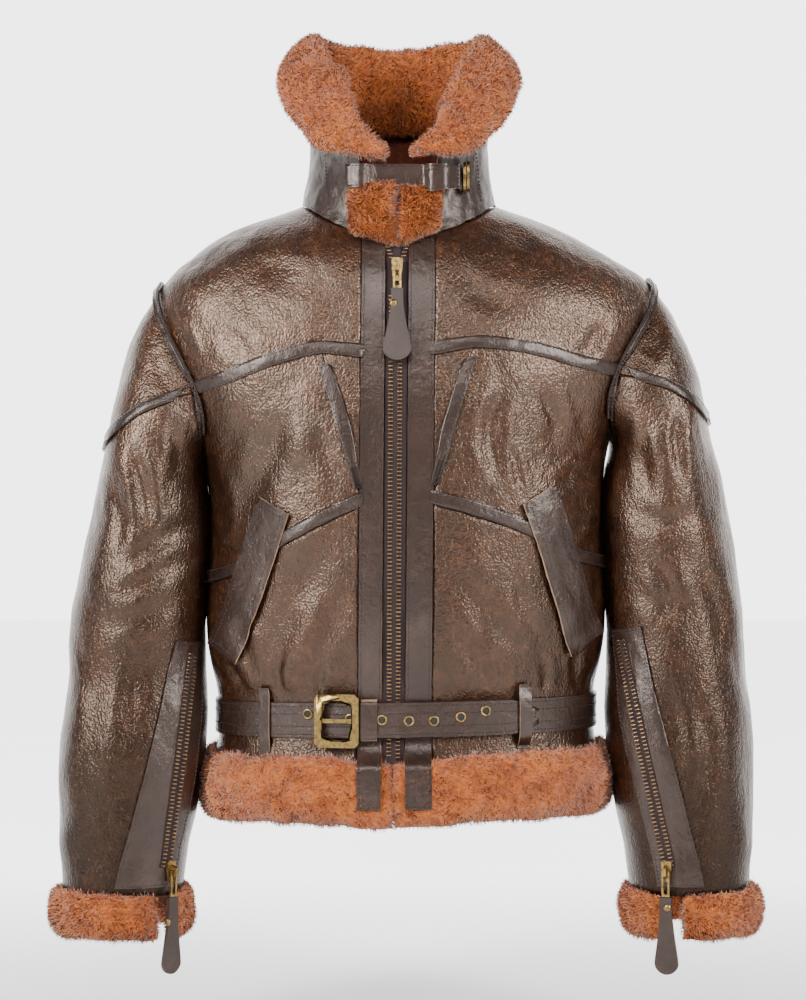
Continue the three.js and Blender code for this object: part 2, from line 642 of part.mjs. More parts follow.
// Zip: cloth tape with its chain, slider, link and leather pull
const ZIP_LEVELS = [-8, -60, -120, -190, -270, -350, -420, -482, -524, -545];
const CHAIN_HALF = 4;
const CHAIN_RISE = 1.1;
const CHAIN_EDGE = CHAIN_HALF - 0.6;
const ZIP_OFFSETS = [-ZIP_HALF, -CHAIN_HALF, -CHAIN_EDGE, CHAIN_EDGE, CHAIN_HALF, ZIP_HALF];
const ZIP_SINK = { top: -0.4, foot: -2 };
const ZIP_MARGIN = 0.6;
const zipCells = ZIP_LEVELS.map((level) => ZIP_OFFSETS.map((offset) => {
  const at = frontEdge(1, level, offset);
  const raised = Math.abs(offset) < CHAIN_HALF ? CHAIN_RISE : 0;
  return bodyAt(at.turn, level, raised);
}));
const zipShort = drawnIn(zipCells, false, ZIP_MARGIN);
addMesh('zip_tape', webbing, skinned(lifted(zipShort, ZIP_SINK.top), lifted(zipShort, ZIP_SINK.foot)));

// Joins two closed solids
function fused(first, second) {
  const solid = (geometry) => {
    const bare = geometry.clone();
    bare.deleteAttribute('normal');
    bare.deleteAttribute('uv');
    const merged = mergeVertices(bare, 1e-4);
    return new wasm.Manifold(new wasm.Mesh({
      numProp: 3,
      vertProperties: new Float32Array(merged.attributes.position.array),
      triVerts: new Uint32Array(merged.index.array),
    }));
  };
  const mesh = solid(first).add(solid(second)).getMesh();
  return solidOf(Array.from(mesh.vertProperties), Array.from(mesh.triVerts));
}
const outline = (stops) => new THREE.Shape(stops.map(([x, y]) => new THREE.Vector2(x, y)));

// A slider of this length and its pull, hung from a place on a surface. In its own frame +Y is
// into the cloth, Z runs up the zip and the pull turns about X
const SLIDER = { wide: 11, waist: 7, tall: 24, thick: 3.4, arch: 4.6, bar: 2.2, foot: 3 };
const PULL = { link: 20, linkWide: 8, wire: 2, tabTop: 12, tabWide: 27, thick: 3.2 };
function sliderSolid(size) {
  const half = size.tall / 2;
  const plate = new THREE.ExtrudeGeometry(outline([
    [-size.wide / 2, half], [-size.wide / 2, half * 0.2], [-size.waist / 2, -half],
    [size.waist / 2, -half], [size.wide / 2, half * 0.2], [size.wide / 2, half],
  ]), { depth: size.thick, bevelEnabled: false });
  plate.rotateX(Math.PI / 2);
  plate.translate(0, size.thick, 0);
  const reach = size.arch / 2 + size.foot / 2;
  const over = size.arch + size.bar;
  const arch = new THREE.ExtrudeGeometry(outline([
    [-reach - 3, -0.6], [-reach, over], [reach, over], [reach + 3, -0.6],
    [reach - 1, -0.6], [reach - size.foot + 0.8, size.arch], [-reach + size.foot - 0.8, size.arch],
    [-reach + 1, -0.6],
  ]), { depth: size.foot, bevelEnabled: false });
  arch.translate(0, 0, -size.foot / 2);
  arch.applyMatrix4(new THREE.Matrix4().makeBasis(vec(0, 0, 1), vec(0, -1, 0), vec(1, 0, 0)));
  return fused(plate, arch);
}
function linkSolid(size, length) {
  const half = size.linkWide / 2;
  const ring = outline([
    [-half, size.wire / 2], [-half, -length], [half, -length], [half, size.wire / 2],
  ]);
  ring.holes.push(new THREE.Path([
    [-half + size.wire, -size.wire / 2], [half - size.wire, -size.wire / 2],
    [half - size.wire, -length + size.wire], [-half + size.wire, -length + size.wire],
  ].map(([x, y]) => new THREE.Vector2(x, y))));
  const solid = new THREE.ExtrudeGeometry(ring, { depth: size.wire, bevelEnabled: false });
  solid.translate(0, 0, -size.wire / 2);
  solid.rotateX(Math.PI / 2);
  return solid;
}
function tabSolid(size, length, wide) {
  const neck = size.tabTop / 2;
  const middle = -length + wide / 2;
  const stops = [[-neck, 0], [-neck * 0.9, -length * 0.3]];
  for (let k = 0; k <= 12; k += 1) {
    const angle = Math.PI + (Math.PI * k) / 12;
    stops.push([(Math.cos(angle) * wide) / 2, middle + (Math.sin(angle) * wide) / 2]);
  }
  stops.push([neck * 0.9, -length * 0.3], [neck, 0]);
  const solid = new THREE.ExtrudeGeometry(outline(stops), { depth: size.thick, bevelEnabled: false });
  solid.translate(0, 0, -size.thick / 2);
  solid.rotateX(Math.PI / 2);
  return solid;
}
function zipPull(prefix, place, basis, tilt, linkLength, tabLength, tabWide, small) {
  const holder = new THREE.Group();
  holder.applyMatrix4(basis);
  holder.position.copy(place);
  jacket.add(holder);
  const size = small ? { ...SLIDER, tall: 20, wide: 10 } : SLIDER;
  addMesh(`${prefix}_slider`, brass, sliderSolid(size), holder);
  const swung = new THREE.Group();
  swung.position.set(0, -size.arch / 2, 0);
  swung.rotation.set(tilt, 0, 0);
  holder.add(swung);
  addMesh(`${prefix}_pull_link`, brass, linkSolid(PULL, linkLength), swung);
  addMesh(`${prefix}_pull_tab`, trim, tabSolid(PULL, tabLength, tabWide), swung)
    .position.set(0, 0, -linkLength - 0.5);
}
const MAIN_SLIDER_HEIGHT = -73;
const sliderPlace = onFront(ZIP_TOP, MAIN_SLIDER_HEIGHT);
const sliderCell = bodyAt(sliderPlace.turn, sliderPlace.level);
const leanOf = (normal) => Math.asin(normal.z);
const mainBasis = new THREE.Matrix4().makeRotationX(-leanOf(sliderCell.normal));
zipPull(
  'zip',
  sliderCell.point.clone().addScaledVector(sliderCell.normal, 1.4 + SLIDER.thick),
  mainBasis, degrees(4), 20, 72, 28, false,
);

// Pocket welts, over the waist tapes: corner places on the front
const WELT_LIFT = 2.6;
const WELT_THICK = 2.4;
const WELT = [
  { along: 0, innerX: 110, innerZ: -302, outerX: 140, outerZ: -284 },
  { along: 1, innerX: 161, innerZ: -448, outerX: 187, outerZ: -427 },
];
const WELT_ROWS = 8;
const WELT_COLUMNS = 3;
for (const { name, sign } of SIDES) {
  const grid = Array.from({ length: WELT_ROWS + 1 }, (_, i) => (
    Array.from({ length: WELT_COLUMNS + 1 }, (__, j) => {
      const share = j / WELT_COLUMNS;
      const spot = (key) => mix(WELT[0][key], WELT[1][key], i / WELT_ROWS);
      const x = sign * mix(spot('innerX'), spot('outerX'), share);
      const at = onFront(x, mix(spot('innerZ'), spot('outerZ'), share));
      return bodyAt(at.turn, at.level);
    })
  ));
  const outer = lifted(grid, WELT_LIFT + WELT_THICK);
  addMesh(`pocket_welt_${name}`, trim, skinned(outer, lifted(grid, WELT_LIFT)));
}

// Belt: once round from the buckle's bar, then through the frame and over itself
const BELT_THICK = 2.6;
const BELT_GAP = 1.8;
const BELT_OVER_ZIP = 2.2;
const BELT_STEPS = 58;
const BUCKLE = { x: -64.5, wide: 43, tall: 51, bar: 7, thick: 4 };
const BELT_TIP_X = 124;
const beltTurn = (x) => onFront(x, BELT_MIDDLE).turn;
const BELT_CLIMB = { before: 12, after: 13, spare: 1.9 };
const BELT_POINT = { turns: 2, share: 0.45 };
const ZIP_BULGE = { x: -10, wide: 44 };
const beltStart = beltTurn(BUCKLE.x + BUCKLE.wide / 2 + 1);
const beltEnd = 360 + beltTurn(BELT_TIP_X);
const climbFrom = 360 + beltTurn(BUCKLE.x - BELT_CLIMB.before);
const climbTo = 360 + beltTurn(BUCKLE.x + BELT_CLIMB.after);
function beltCell(turn, rise) {
  const at = bodyAt(turn, BELT_MIDDLE);
  const flat = vec(at.normal.x, at.normal.y, 0).normalize();
  const beside = (at.point.x - ZIP_BULGE.x) / ZIP_BULGE.wide;
  const overZip = at.point.y < 0 ? BELT_OVER_ZIP * Math.exp(-(beside ** 2)) : 0;
  return { point: at.point.clone().addScaledVector(flat, BELT_GAP + overZip + rise), normal: flat };
}
const upBy = (cell, height) => ({ point: cell.point.clone().add(vec(0, 0, height)), normal: cell.normal });
const beltGrid = Array.from({ length: BELT_STEPS + 1 }, (_, k) => {
  const turn = mix(beltStart, beltEnd, k / BELT_STEPS);
  const climb = (BELT_THICK + BELT_CLIMB.spare) * eased(climbFrom, climbTo, turn);
  const half = (BELT_WIDTH / 2) * (turn > beltEnd - BELT_POINT.turns ? BELT_POINT.share : 1);
  return [-half, half].map((height) => upBy(beltCell(turn, climb), height));
});
addMesh('belt', trim, skinned(lifted(beltGrid, BELT_THICK), lifted(beltGrid, 0)));

// Frame that stands on the body at x, its flat towards the front
function standing(x, level, lift) {
  const cell = beltCell(beltTurn(x), lift);
  const across = vec(-cell.normal.y, cell.normal.x, 0);
  const basis = new THREE.Matrix4().makeBasis(across, cell.normal.clone().negate(), vec(0, 0, 1));
  basis.setPosition(hang(vec(cell.point.x, cell.point.y, level)));
  return basis;
}
const RING_CORNER = 4;
function ringPlate(wide, tall, bar, thick) {
  const x = wide / 2;
  const y = tall / 2;
  const plate = outline([
    [-x, -y + RING_CORNER], [-x + RING_CORNER, -y], [x - RING_CORNER, -y], [x, -y + RING_CORNER],
    [x, y - RING_CORNER], [x - RING_CORNER, y], [-x + RING_CORNER, y], [-x, y - RING_CORNER],
  ]);
  const hole = [[-x + bar, -y + bar], [x - bar, -y + bar], [x - bar, y - bar], [-x + bar, y - bar]];
  plate.holes.push(new THREE.Path(hole.map((stop) => new THREE.Vector2(...stop))));
  const solid = new THREE.ExtrudeGeometry(plate, { depth: thick, bevelEnabled: false });
  solid.rotateX(Math.PI / 2);
  return solid;
}
const frame = addMesh('buckle_frame', brass, ringPlate(BUCKLE.wide, BUCKLE.tall, BUCKLE.bar, BUCKLE.thick));
const BUCKLE_SPARE = 2.4;
const frontLift = 2 * BELT_THICK + BUCKLE_SPARE;
frame.applyMatrix4(standing(BUCKLE.x, BELT_MIDDLE, frontLift));
const PRONG = { long: 28.4, wide: 4, thick: 3 };
const prong = new THREE.BoxGeometry(PRONG.long, PRONG.thick, PRONG.wide);
prong.translate(0, -PRONG.thick / 2, 0);
addMesh('buckle_prong', brass, prong).applyMatrix4(standing(BUCKLE.x, BELT_MIDDLE, frontLift + SEAM_GAP));

// Keeper round both layers of the belt, and loops that stand on the body over the belt
const KEEPER = { x: -34.8, wide: 15, spare: 3.5, clear: 2.3, foot: 1.2, bend: 1.4, thick: 1.6 };
const keeperTurns = [-1, 1].map((end) => beltTurn(KEEPER.x + end * (KEEPER.wide / 2)));
const keeperRise = 2 * BELT_THICK + KEEPER.clear;
const keeperHigh = BELT_WIDTH / 2 + KEEPER.spare;
const keeperStops = [
  [-keeperHigh, KEEPER.foot],
  [-keeperHigh + KEEPER.bend, keeperRise],
  [0, keeperRise + SEAM_GAP],
  [keeperHigh - KEEPER.bend, keeperRise],
  [keeperHigh, KEEPER.foot],
];
const keeperGrid = keeperTurns.map((turn) => (
  keeperStops.map(([height, rise]) => upBy(beltCell(turn, rise), height))
));
addMesh('belt_keeper', trim, skinned(lifted(keeperGrid, KEEPER.thick), lifted(keeperGrid, 0)));
const LOOP = { wide: 10, high: 28, rise: BELT_THICK + 2.4, thick: 1.5, end: 3, foot: 0.4, top: 3.2 };
const LOOPS = [
  { name: 'belt_loop_right', turn: onFront(-134, BELT_MIDDLE).turn, over: 0 },
  { name: 'belt_loop_left', turn: onFront(111, BELT_MIDDLE).turn, over: BELT_THICK + 2.2 },
  { name: 'belt_loop_back', turn: 180, over: 0 },
];
for (const loop of LOOPS) {
  const half = LOOP.wide / 2 / TURN_SIZE;
  const rise = LOOP.rise + loop.over;
  const stops = [
    [-LOOP.high - LOOP.end, LOOP.foot],
    [-LOOP.high, LOOP.foot + 0.5],
    [-BELT_WIDTH / 2 - 4, rise * 0.9],
    [-BELT_WIDTH / 2 + 2, rise],
    [BELT_WIDTH / 2 - 2, rise],
    [BELT_WIDTH / 2 + 4, rise * 0.9],
    [LOOP.high, LOOP.top],
    [LOOP.high + LOOP.end, LOOP.top],
  ];
  const grid = [-half, half].map((by) => stops.map(([height, lift]) => {
    const level = BELT_MIDDLE + height;
    const cell = bodyAt(loop.turn + by, level);
    const base = beltCell(loop.turn + by, 0);
    const point = cell.point.clone().addScaledVector(base.normal, lift);
    const belt = base.point.clone().addScaledVector(base.normal, lift - 0.9);
    const out = Math.abs(height) < BELT_WIDTH / 2 + 5 ? belt : point;
    return { point: vec(out.x, out.y, point.z), normal: base.normal };
  }));
  addMesh(loop.name, trim, skinned(lifted(grid, LOOP.thick), lifted(grid, 0)));
}

// Collar stations from the front end to the middle of the back. lip is the crest of the wool on
// the inside, edge is where the turned wool ends outside; x is from the middle of the neck
const COLLAR_MIDDLE = -7.5;
const COLLAR = [
  { at: 0, lipX: 10, lipY: -98, lipZ: 49, edgeX: 10, edgeY: -107, edgeZ: 41 },
  { at: 1, lipX: 36, lipY: -90, lipZ: 66, edgeX: 43, edgeY: -103, edgeZ: 41 },
  { at: 2, lipX: 40, lipY: -74, lipZ: 92, edgeX: 73, edgeY: -88, edgeZ: 49 },
  { at: 3, lipX: 51, lipY: -54, lipZ: 122, edgeX: 97, edgeY: -64, edgeZ: 72 },
  { at: 4, lipX: 69, lipY: -26, lipZ: 150, edgeX: 117, edgeY: -32, edgeZ: 103 },
  { at: 5, lipX: 77, lipY: 6, lipZ: 170, edgeX: 120, edgeY: 4, edgeZ: 130 },
  { at: 6, lipX: 68, lipY: 38, lipZ: 168, edgeX: 104, edgeY: 52, edgeZ: 141 },
  { at: 7, lipX: 40, lipY: 60, lipZ: 165, edgeX: 60, edgeY: 86, edgeZ: 144 },
  { at: 8, lipX: 0, lipY: 68, lipZ: 162, edgeX: 0, edgeY: 98, edgeZ: 145 },
];
const COLLAR_LAST = 8;
const STAND_WAIST = 0.1;
const STAND_THICK = 3;
const collarRow = (at, name) => column(COLLAR, 'at', name, Math.min(at, 2 * COLLAR_LAST - at))
  * (name.endsWith('X') && at > COLLAR_LAST ? -1 : 1);
// Top edge of the hide, between the lip and the edge of the wool
function standTop(at) {
  const share = 0.5;
  return vec(
    COLLAR_MIDDLE + mix(collarRow(at, 'lipX'), collarRow(at, 'edgeX'), share),
    mix(collarRow(at, 'lipY'), collarRow(at, 'edgeY'), share),
    mix(collarRow(at, 'lipZ'), collarRow(at, 'edgeZ'), 0.62),
  );
}
// Outer face of the hide; rise is 0 on the neckline and 1 at its top
function standAt(at, rise) {
  const top = standTop(at);
  const turn = Math.atan2(top.x - COLLAR_MIDDLE, -top.y / 0.9) * (180 / Math.PI);
  const foot = bodyShape(turn, 0);
  const share = rise ** 1.5;
  const point = foot.clone().lerp(top, share);
  point.z = mix(foot.z + 0.9, top.z, rise);
  const draw = 1 - STAND_WAIST * Math.sin(Math.PI * Math.min(rise * 1.15, 1));
  point.x = COLLAR_MIDDLE + (point.x - COLLAR_MIDDLE) * draw;
  point.y *= draw;
  const normal = vec(point.x - COLLAR_MIDDLE, point.y * 1.15, 0).normalize();
  return { point, normal };
}
const STAND_RISES = [0, 0.2, 0.48, 0.76, 1];
// A place on the flat faces between the rows of the stand
function standOn(at, rise, out = 0) {
  let row = 0;
  while (row < STAND_RISES.length - 2 && STAND_RISES[row + 1] < rise) row += 1;
  const low = standAt(at, STAND_RISES[row]);
  const high = standAt(at, STAND_RISES[row + 1]);
  const share = (rise - STAND_RISES[row]) / (STAND_RISES[row + 1] - STAND_RISES[row]);
  const face = (cell) => cell.point.clone().addScaledVector(cell.normal, out);
  return face(low).lerp(face(high), share);
}
const COLLAR_STEP = 0.5;
const standStations = Array.from({ length: 29 }, (_, k) => 1 + k * COLLAR_STEP);
const standGrid = standStations.map((at) => STAND_RISES.map((rise) => standAt(at, rise)));
addMesh('collar', trim, skinned(lifted(standGrid, 0), lifted(standGrid, -STAND_THICK)));

// Wool of the collar: up the inside, over the hide's edge and down a little outside
const WOOL_LINING = 10;
const WOOL_SPARE = 0.8;
const CREST_RISE = 15;
function woolSection(at) {
  const lip = vec(COLLAR_MIDDLE + collarRow(at, 'lipX'), collarRow(at, 'lipY'), collarRow(at, 'lipZ'));
  const edge = vec(COLLAR_MIDDLE + collarRow(at, 'edgeX'), collarRow(at, 'edgeY'), collarRow(at, 'edgeZ'));
  const out = standAt(at, 1).normal;
  const span = edge.clone().sub(lip);
  const high = Math.min(CREST_RISE, span.length() * 0.36);
  const ahead = Math.min(at, 2 * COLLAR_LAST - at);
  const skirt = mix(0.93, 0.48, eased(0.9, 2.6, ahead));
  const under = mix(1, 6, eased(0.5, 2.5, ahead));
  const crest = (share, rise, bulge) => lip.clone().addScaledVector(span, share)
    .add(vec(0, 0, rise)).addScaledVector(out, bulge);
  const over = vec(0, 0, WOOL_SPARE);
  return [
    standOn(at, skirt, -STAND_THICK - WOOL_SPARE),
    standOn(at, skirt, -STAND_THICK - WOOL_LINING),
    standOn(at, (1 + skirt) / 2, -STAND_THICK - WOOL_LINING - 3),
    lip,
    crest(0.16, high * 0.8, 0),
    crest(0.45, high * 1.1, 1),
    crest(0.78, high * 0.9, 3),
    crest(1, high * 0.3, 3),
    edge.clone().add(vec(0, 0, -under)).addScaledVector(out, -3),
    standOn(at, 0.88, 1 + WOOL_SPARE),
    standOn(at, 1, 1 + WOOL_SPARE).add(over),
    standOn(at, 1, -STAND_THICK - WOOL_SPARE).add(over),
    standOn(at, Math.max(0.76, skirt), -STAND_THICK - WOOL_SPARE),
  ];
}
// A closed section swept along stations, with flat ends
function swept(sections, ring = false) {
  const points = [];
  for (const section of sections) for (const point of section) points.push(...hang(point).toArray());
  const around = sections[0].length;
  const faces = [];
  const at = (i, j) => (i % sections.length) * around + (j % around);
  const steps = ring ? sections.length : sections.length - 1;
  for (let i = 0; i < steps; i += 1) {
    for (let j = 0; j < around; j += 1) {
      faces.push(at(i, j), at(i + 1, j), at(i + 1, j + 1), at(i, j), at(i + 1, j + 1), at(i, j + 1));
    }
  }
  for (const end of ring ? [] : [0, sections.length - 1]) {
    const middle = points.length / 3;
    const total = sections[end].reduce((sum, point) => sum.add(hang(point)), vec(0, 0, 0));
    const centre = total.divideScalar(around);
    points.push(...centre.toArray());
    for (let j = 0; j < around; j += 1) {
      const pair = end === 0 ? [at(end, j), at(end, j + 1)] : [at(end, j + 1), at(end, j)];
      faces.push(middle, ...pair);
    }
  }
  return solidOf(points, facingOut(points, faces));
}
const woolEnds = [0.1, 0.5];
const woolStations = [
  ...woolEnds,
  ...standStations,
  ...woolEnds.map((at) => 2 * COLLAR_LAST - at).reverse(),
];
addMesh('collar_fur', wool, swept(woolStations.map(woolSection)));

// Skin at the front of the neck, over which the chin pieces and the strap lie
function neckSkin(x, z) {
  if (z < -40) {
    const at = onFront(x, z);
    return bodyAt(at.turn, at.level).point.y - 2;
  }
  const low = bodyAt(onFront(x, -42).turn, onFront(x, -42).level).point.y - 2;
  const high = -86 * Math.sqrt(Math.max(1 - ((x - COLLAR_MIDDLE) / 100) ** 2, 0.05)) - 4;
  return mix(low, Math.min(high, -40), eased(-44, 10, z));
}
const CHIN = { rows: 6, columns: 4, thick: 13 };
const CHINS = [
  { name: 'chin_fur_right', from: -54, to: -9.5, top: 13, foot: -33, tail: -46, sign: 1 },
  { name: 'chin_fur_left', from: -6.5, to: 33, top: 10, foot: -44, tail: -29, sign: -1 },
];
for (const chin of CHINS) {
  const grid = Array.from({ length: CHIN.columns + 1 }, (_, i) => (
    Array.from({ length: CHIN.rows + 1 }, (__, j) => {
      const x = mix(chin.from, chin.to, i / CHIN.columns);
      const z = mix(mix(chin.foot, chin.tail, i / CHIN.columns), chin.top, j / CHIN.rows);
      return vec(x, neckSkin(x, z) - 0.35, z);
    })
  ));
  const puff = (i, j) => {
    const edge = Math.min(i, CHIN.columns - i, j, CHIN.rows - j);
    return CHIN.thick * [0.5, 0.92, 1, 1][edge];
  };
  const front = grid.map((line, i) => line.map((point, j) => vec(point.x, point.y - puff(i, j), point.z)));
  addMesh(chin.name, wool, skinned(front, grid));
}

// Furthest forward that the stand reaches near x, where the strap lies on it
function standFront(x) {
  let y = 0;
  for (const at of [1, 1.25, 1.5, 1.75, 2, 2.5, 3, 3.5, 4]) {
    for (const rise of [0.4, 0.5, 0.6, 0.7, 0.8, 0.9, 1]) {
      for (const side of [at, 2 * COLLAR_LAST - at]) {
        const { point } = standAt(side, rise);
        if (Math.abs(point.x - x) < 9 && point.z < 44) y = Math.min(y, point.y);
      }
    }
  }
  return y;
}

// Strap across the neck opening, with its tongue and ring
const STRAP = { low: 15.5, high: 38, thick: 2.4 };
function strapGrid(stops, rise) {
  return stops.map(({ x, low, high }) => [low, (low + high) / 2, high].map((z) => {
    const y = Math.min(neckSkin(x, 10), standFront(x)) - rise;
    return vec(x, y, z);
  }));
}
const strapStops = [-59, -44, -28, -10, 8, 16, 24, 38, 52].map((x) => (
  { x, low: STRAP.low, high: STRAP.high }
));
const strapSolid = (stops, rise) => skinned(strapGrid(stops, rise + STRAP.thick), strapGrid(stops, rise));
addMesh('collar_strap', trim, strapSolid(strapStops, SEAM_GAP));
const tongueStops = [
  { x: 8, low: 20, high: 23 }, { x: 16, low: 13, high: 31 }, { x: 24, low: 12, high: 32 },
  { x: 38, low: 14, high: 35 }, { x: 52, low: 16, high: 37 },
];
addMesh('collar_tongue', trim, strapSolid(tongueStops, STRAP.thick + 3 * SEAM_GAP));
const COLLAR_RING = { x: 56, z: 25, tall: 26, deep: 15, wire: 3 };
const ringSolid = ringPlate(COLLAR_RING.deep, COLLAR_RING.tall, COLLAR_RING.wire, COLLAR_RING.wire);
ringSolid.rotateZ(Math.PI / 2);
addMesh('collar_ring', brass, ringSolid).position.set(
  COLLAR_RING.x - COLLAR_RING.wire / 2 + 3, standFront(COLLAR_RING.x) - 2.8, COLLAR_RING.z,
);

// Wool round the hem: places out from the hide and heights of its section
const HEM_SECTION = [
  { out: -6, z: -548 }, { out: -7, z: -580 }, { out: 2, z: -599 }, { out: 16, z: -594 },
  { out: 21, z: -572 }, { out: 17, z: -550 }, { out: 8, z: -539 }, { out: 1, z: -541 }, { out: 0.8, z: -548 },
];
const HEM_STEPS = 40;
const HEM_BESIDE_SLEEVE = 0.56;
const HEM_END = 3;
const HEM_THIN = 0.34;
const hemFrom = beltTurn(ZIP_FOOT + HEM_END);
const hemTo = 360 + beltTurn(ZIP_FOOT - HEM_END);
const hemTurn = (share) => mix(hemFrom, hemTo, share - 0.035 * Math.sin(2 * Math.PI * share));
addMesh('hem_fur', wool, swept(Array.from({ length: HEM_STEPS + 1 }, (_, i) => {
  const turn = hemTurn(i / HEM_STEPS);
  const cell = bodyAt(turn, HEM);
  const flat = vec(cell.normal.x, cell.normal.y, 0).normalize();
  const ahead = cell.point.y < 0 ? Math.abs(cell.point.x - ZIP_FOOT) : 1e3;
  const beside = Math.exp(-(((Math.abs(((turn + 180) % 360) - 180) - 88) / 22) ** 2));
  const full = mix(HEM_THIN, 1, eased(30, 58, ahead)) * mix(1, HEM_BESIDE_SLEEVE, beside);
  const drop = mix(9, 0, eased(34, 56, ahead));
  return HEM_SECTION.map(({ out, z }) => {
    const point = cell.point.clone().addScaledVector(flat, out > 1 ? Math.max(out * full, 1) : out);
    return vec(point.x, point.y, z > -545 ? z - drop : z - (z < -590 ? drop * 0.6 : 0));
  });
})));

// Cuffs: wool bands split at the zip, facings, and the sleeve zips
const CUFF_TURN = { '-1': { top: 150, foot: 137 }, 1: { top: 146, foot: 110 } };
const CUFF_FOOT = -676;
const CUFF_SECTION = [
  { out: -6, z: -680 }, { out: -6, z: -702 }, { out: 2, z: -717 }, { out: 11, z: -711 },
  { out: 13.5, z: -692 }, { out: 9, z: -673 }, { out: 1.8, z: -672 }, { out: 1.8, z: -680 },
];
const CUFF_STEPS = 22;
const CUFF_SPLIT = 9;
const CUFF_LEAST = 1.8;
const FACING_TOP = -418;
const FACING_REACH = { '-1': { top: 21, foot: 50 }, 1: { top: 21, foot: 28 } };
const FACING_INNER = 12;
const sleeveRowAt = (height) => {
  let low = 0;
  while (low < ARM.length - 2 && ARM[low + 1].height > height) low += 1;
  return 1 + low + (ARM[low].height - height) / (ARM[low].height - ARM[low + 1].height);
};
const CUFF_HEIGHTS = [FACING_TOP, -435, -466, -498, -528, -558, -590, -620, -645, -669];
const CUFF_COLUMNS = 9;
const CUFF_FACING = { top: 2.5, foot: 0.8 };
// A cell on the sleeve's own facets
const sleeveCell = (name, turn, row) => {
  const grid = panels[`sleeve_lower_${name}`];
  const across = (turn * ARMHOLE_NODES) / 360;
  const near = Math.floor(across);
  let low = 0;
  while (low < LOWER_ROWS.length - 2 && LOWER_ROWS[low + 1] < row) low += 1;
  const down = (row - LOWER_ROWS[low]) / (LOWER_ROWS[low + 1] - LOWER_ROWS[low]);
  const [first, second] = [near, near + 1].map((column) => ({
    point: grid[column][low].point.clone().lerp(grid[column][low + 1].point, down),
    normal: grid[column][low].normal.clone().lerp(grid[column][low + 1].normal, down),
  }));
  return {
    point: first.point.lerp(second.point, across - near),
    normal: first.normal.lerp(second.normal, across - near).normalize(),
  };
};
const CUFF_SLIDER_HEIGHT = -658;
const CUFF_SLIDER_LIFT = 3.2;
for (const { name, sign } of SIDES) {
  const along = (ends, height) => mix(ends.top, ends.foot, between(FACING_TOP, CUFF_FOOT, height));
  const front = (height) => along(CUFF_TURN[sign], height);
  const grid = CUFF_HEIGHTS.map((height) => {
    const reach = along(FACING_REACH[sign], height);
    return Array.from({ length: CUFF_COLUMNS }, (_, k) => (
      sleeveCell(
        name,
        front(height) + mix(-reach, FACING_INNER, k / (CUFF_COLUMNS - 1)),
        sleeveRowAt(height),
      )
    ));
  });
  addMesh(`cuff_facing_${name}`, trim, skinned(lifted(grid, CUFF_FACING.top), lifted(grid, CUFF_FACING.foot)));
  const from = front(CUFF_FOOT) + CUFF_SPLIT;
  addMesh(`cuff_fur_${name}`, wool, swept(Array.from({ length: CUFF_STEPS + 1 }, (_, i) => {
    const turn = mix(from, from + 360 - 2 * CUFF_SPLIT, i / CUFF_STEPS);
    const cell = sleeveAt(sign, turn, ARM.length);
    const flat = vec(cell.normal.x, cell.normal.y, 0).normalize();
    const away = Math.min(i, CUFF_STEPS - i) / CUFF_STEPS * 360;
    const full = mix(0.3, 1, eased(0, 26, away));
    const inside = turn % 360 > 150 && turn % 360 < 210 ? 0.8 : 1;
    return CUFF_SECTION.map(({ out, z }) => {
      const by = out > 1 ? Math.max(out * full * inside, CUFF_LEAST) : out;
      const point = cell.point.clone().addScaledVector(flat, by);
      return vec(point.x, point.y, z > -674 ? z - mix(4, 0, eased(0, 30, away)) : z);
    });
  })));
  const cell = sleeveCell(name, front(CUFF_SLIDER_HEIGHT), sleeveRowAt(CUFF_SLIDER_HEIGHT));
  const flat = vec(cell.normal.x, cell.normal.y, 0).normalize();
  const basis = new THREE.Matrix4().makeBasis(vec(-flat.y, flat.x, 0), flat.clone().negate(), vec(0, 0, 1));
  zipPull(
    `cuff_zip_${name}`,
    hang(cell.point.clone().addScaledVector(flat, CUFF_SLIDER_LIFT + SLIDER.thick)),
    basis, degrees(2.5), 24, 75, 24, true,
  );
}

export default jacket;
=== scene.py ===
"""Sheepskin flying jacket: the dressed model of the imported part, in metres."""
import json
import math

import bmesh
import bpy
import numpy as np
from mathutils import Matrix, Vector
from mathutils.bvhtree import BVHTree
from mathutils.kdtree import KDTree

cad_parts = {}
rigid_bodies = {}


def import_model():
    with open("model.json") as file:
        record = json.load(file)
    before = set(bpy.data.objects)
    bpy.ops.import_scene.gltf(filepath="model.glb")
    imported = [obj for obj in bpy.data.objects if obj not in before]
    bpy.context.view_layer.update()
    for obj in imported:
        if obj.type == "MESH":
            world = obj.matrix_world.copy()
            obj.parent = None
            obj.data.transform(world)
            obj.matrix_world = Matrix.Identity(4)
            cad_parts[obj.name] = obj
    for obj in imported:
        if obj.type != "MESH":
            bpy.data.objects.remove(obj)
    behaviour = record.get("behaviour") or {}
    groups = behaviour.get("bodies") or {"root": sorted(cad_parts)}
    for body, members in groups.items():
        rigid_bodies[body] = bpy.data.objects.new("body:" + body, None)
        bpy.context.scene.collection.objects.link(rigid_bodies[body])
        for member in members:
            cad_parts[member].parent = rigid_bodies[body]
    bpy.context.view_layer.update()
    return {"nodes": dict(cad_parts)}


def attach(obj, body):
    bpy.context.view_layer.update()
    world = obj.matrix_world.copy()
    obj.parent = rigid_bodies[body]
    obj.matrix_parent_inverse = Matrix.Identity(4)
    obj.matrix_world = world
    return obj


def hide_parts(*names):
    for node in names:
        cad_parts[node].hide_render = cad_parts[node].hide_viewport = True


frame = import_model()
NODES = frame["nodes"]
SIDES = {"right": -1, "left": 1}
LATTICE_SIZE = 32
LATTICE = np.random.default_rng(11).random((LATTICE_SIZE, LATTICE_SIZE, LATTICE_SIZE))
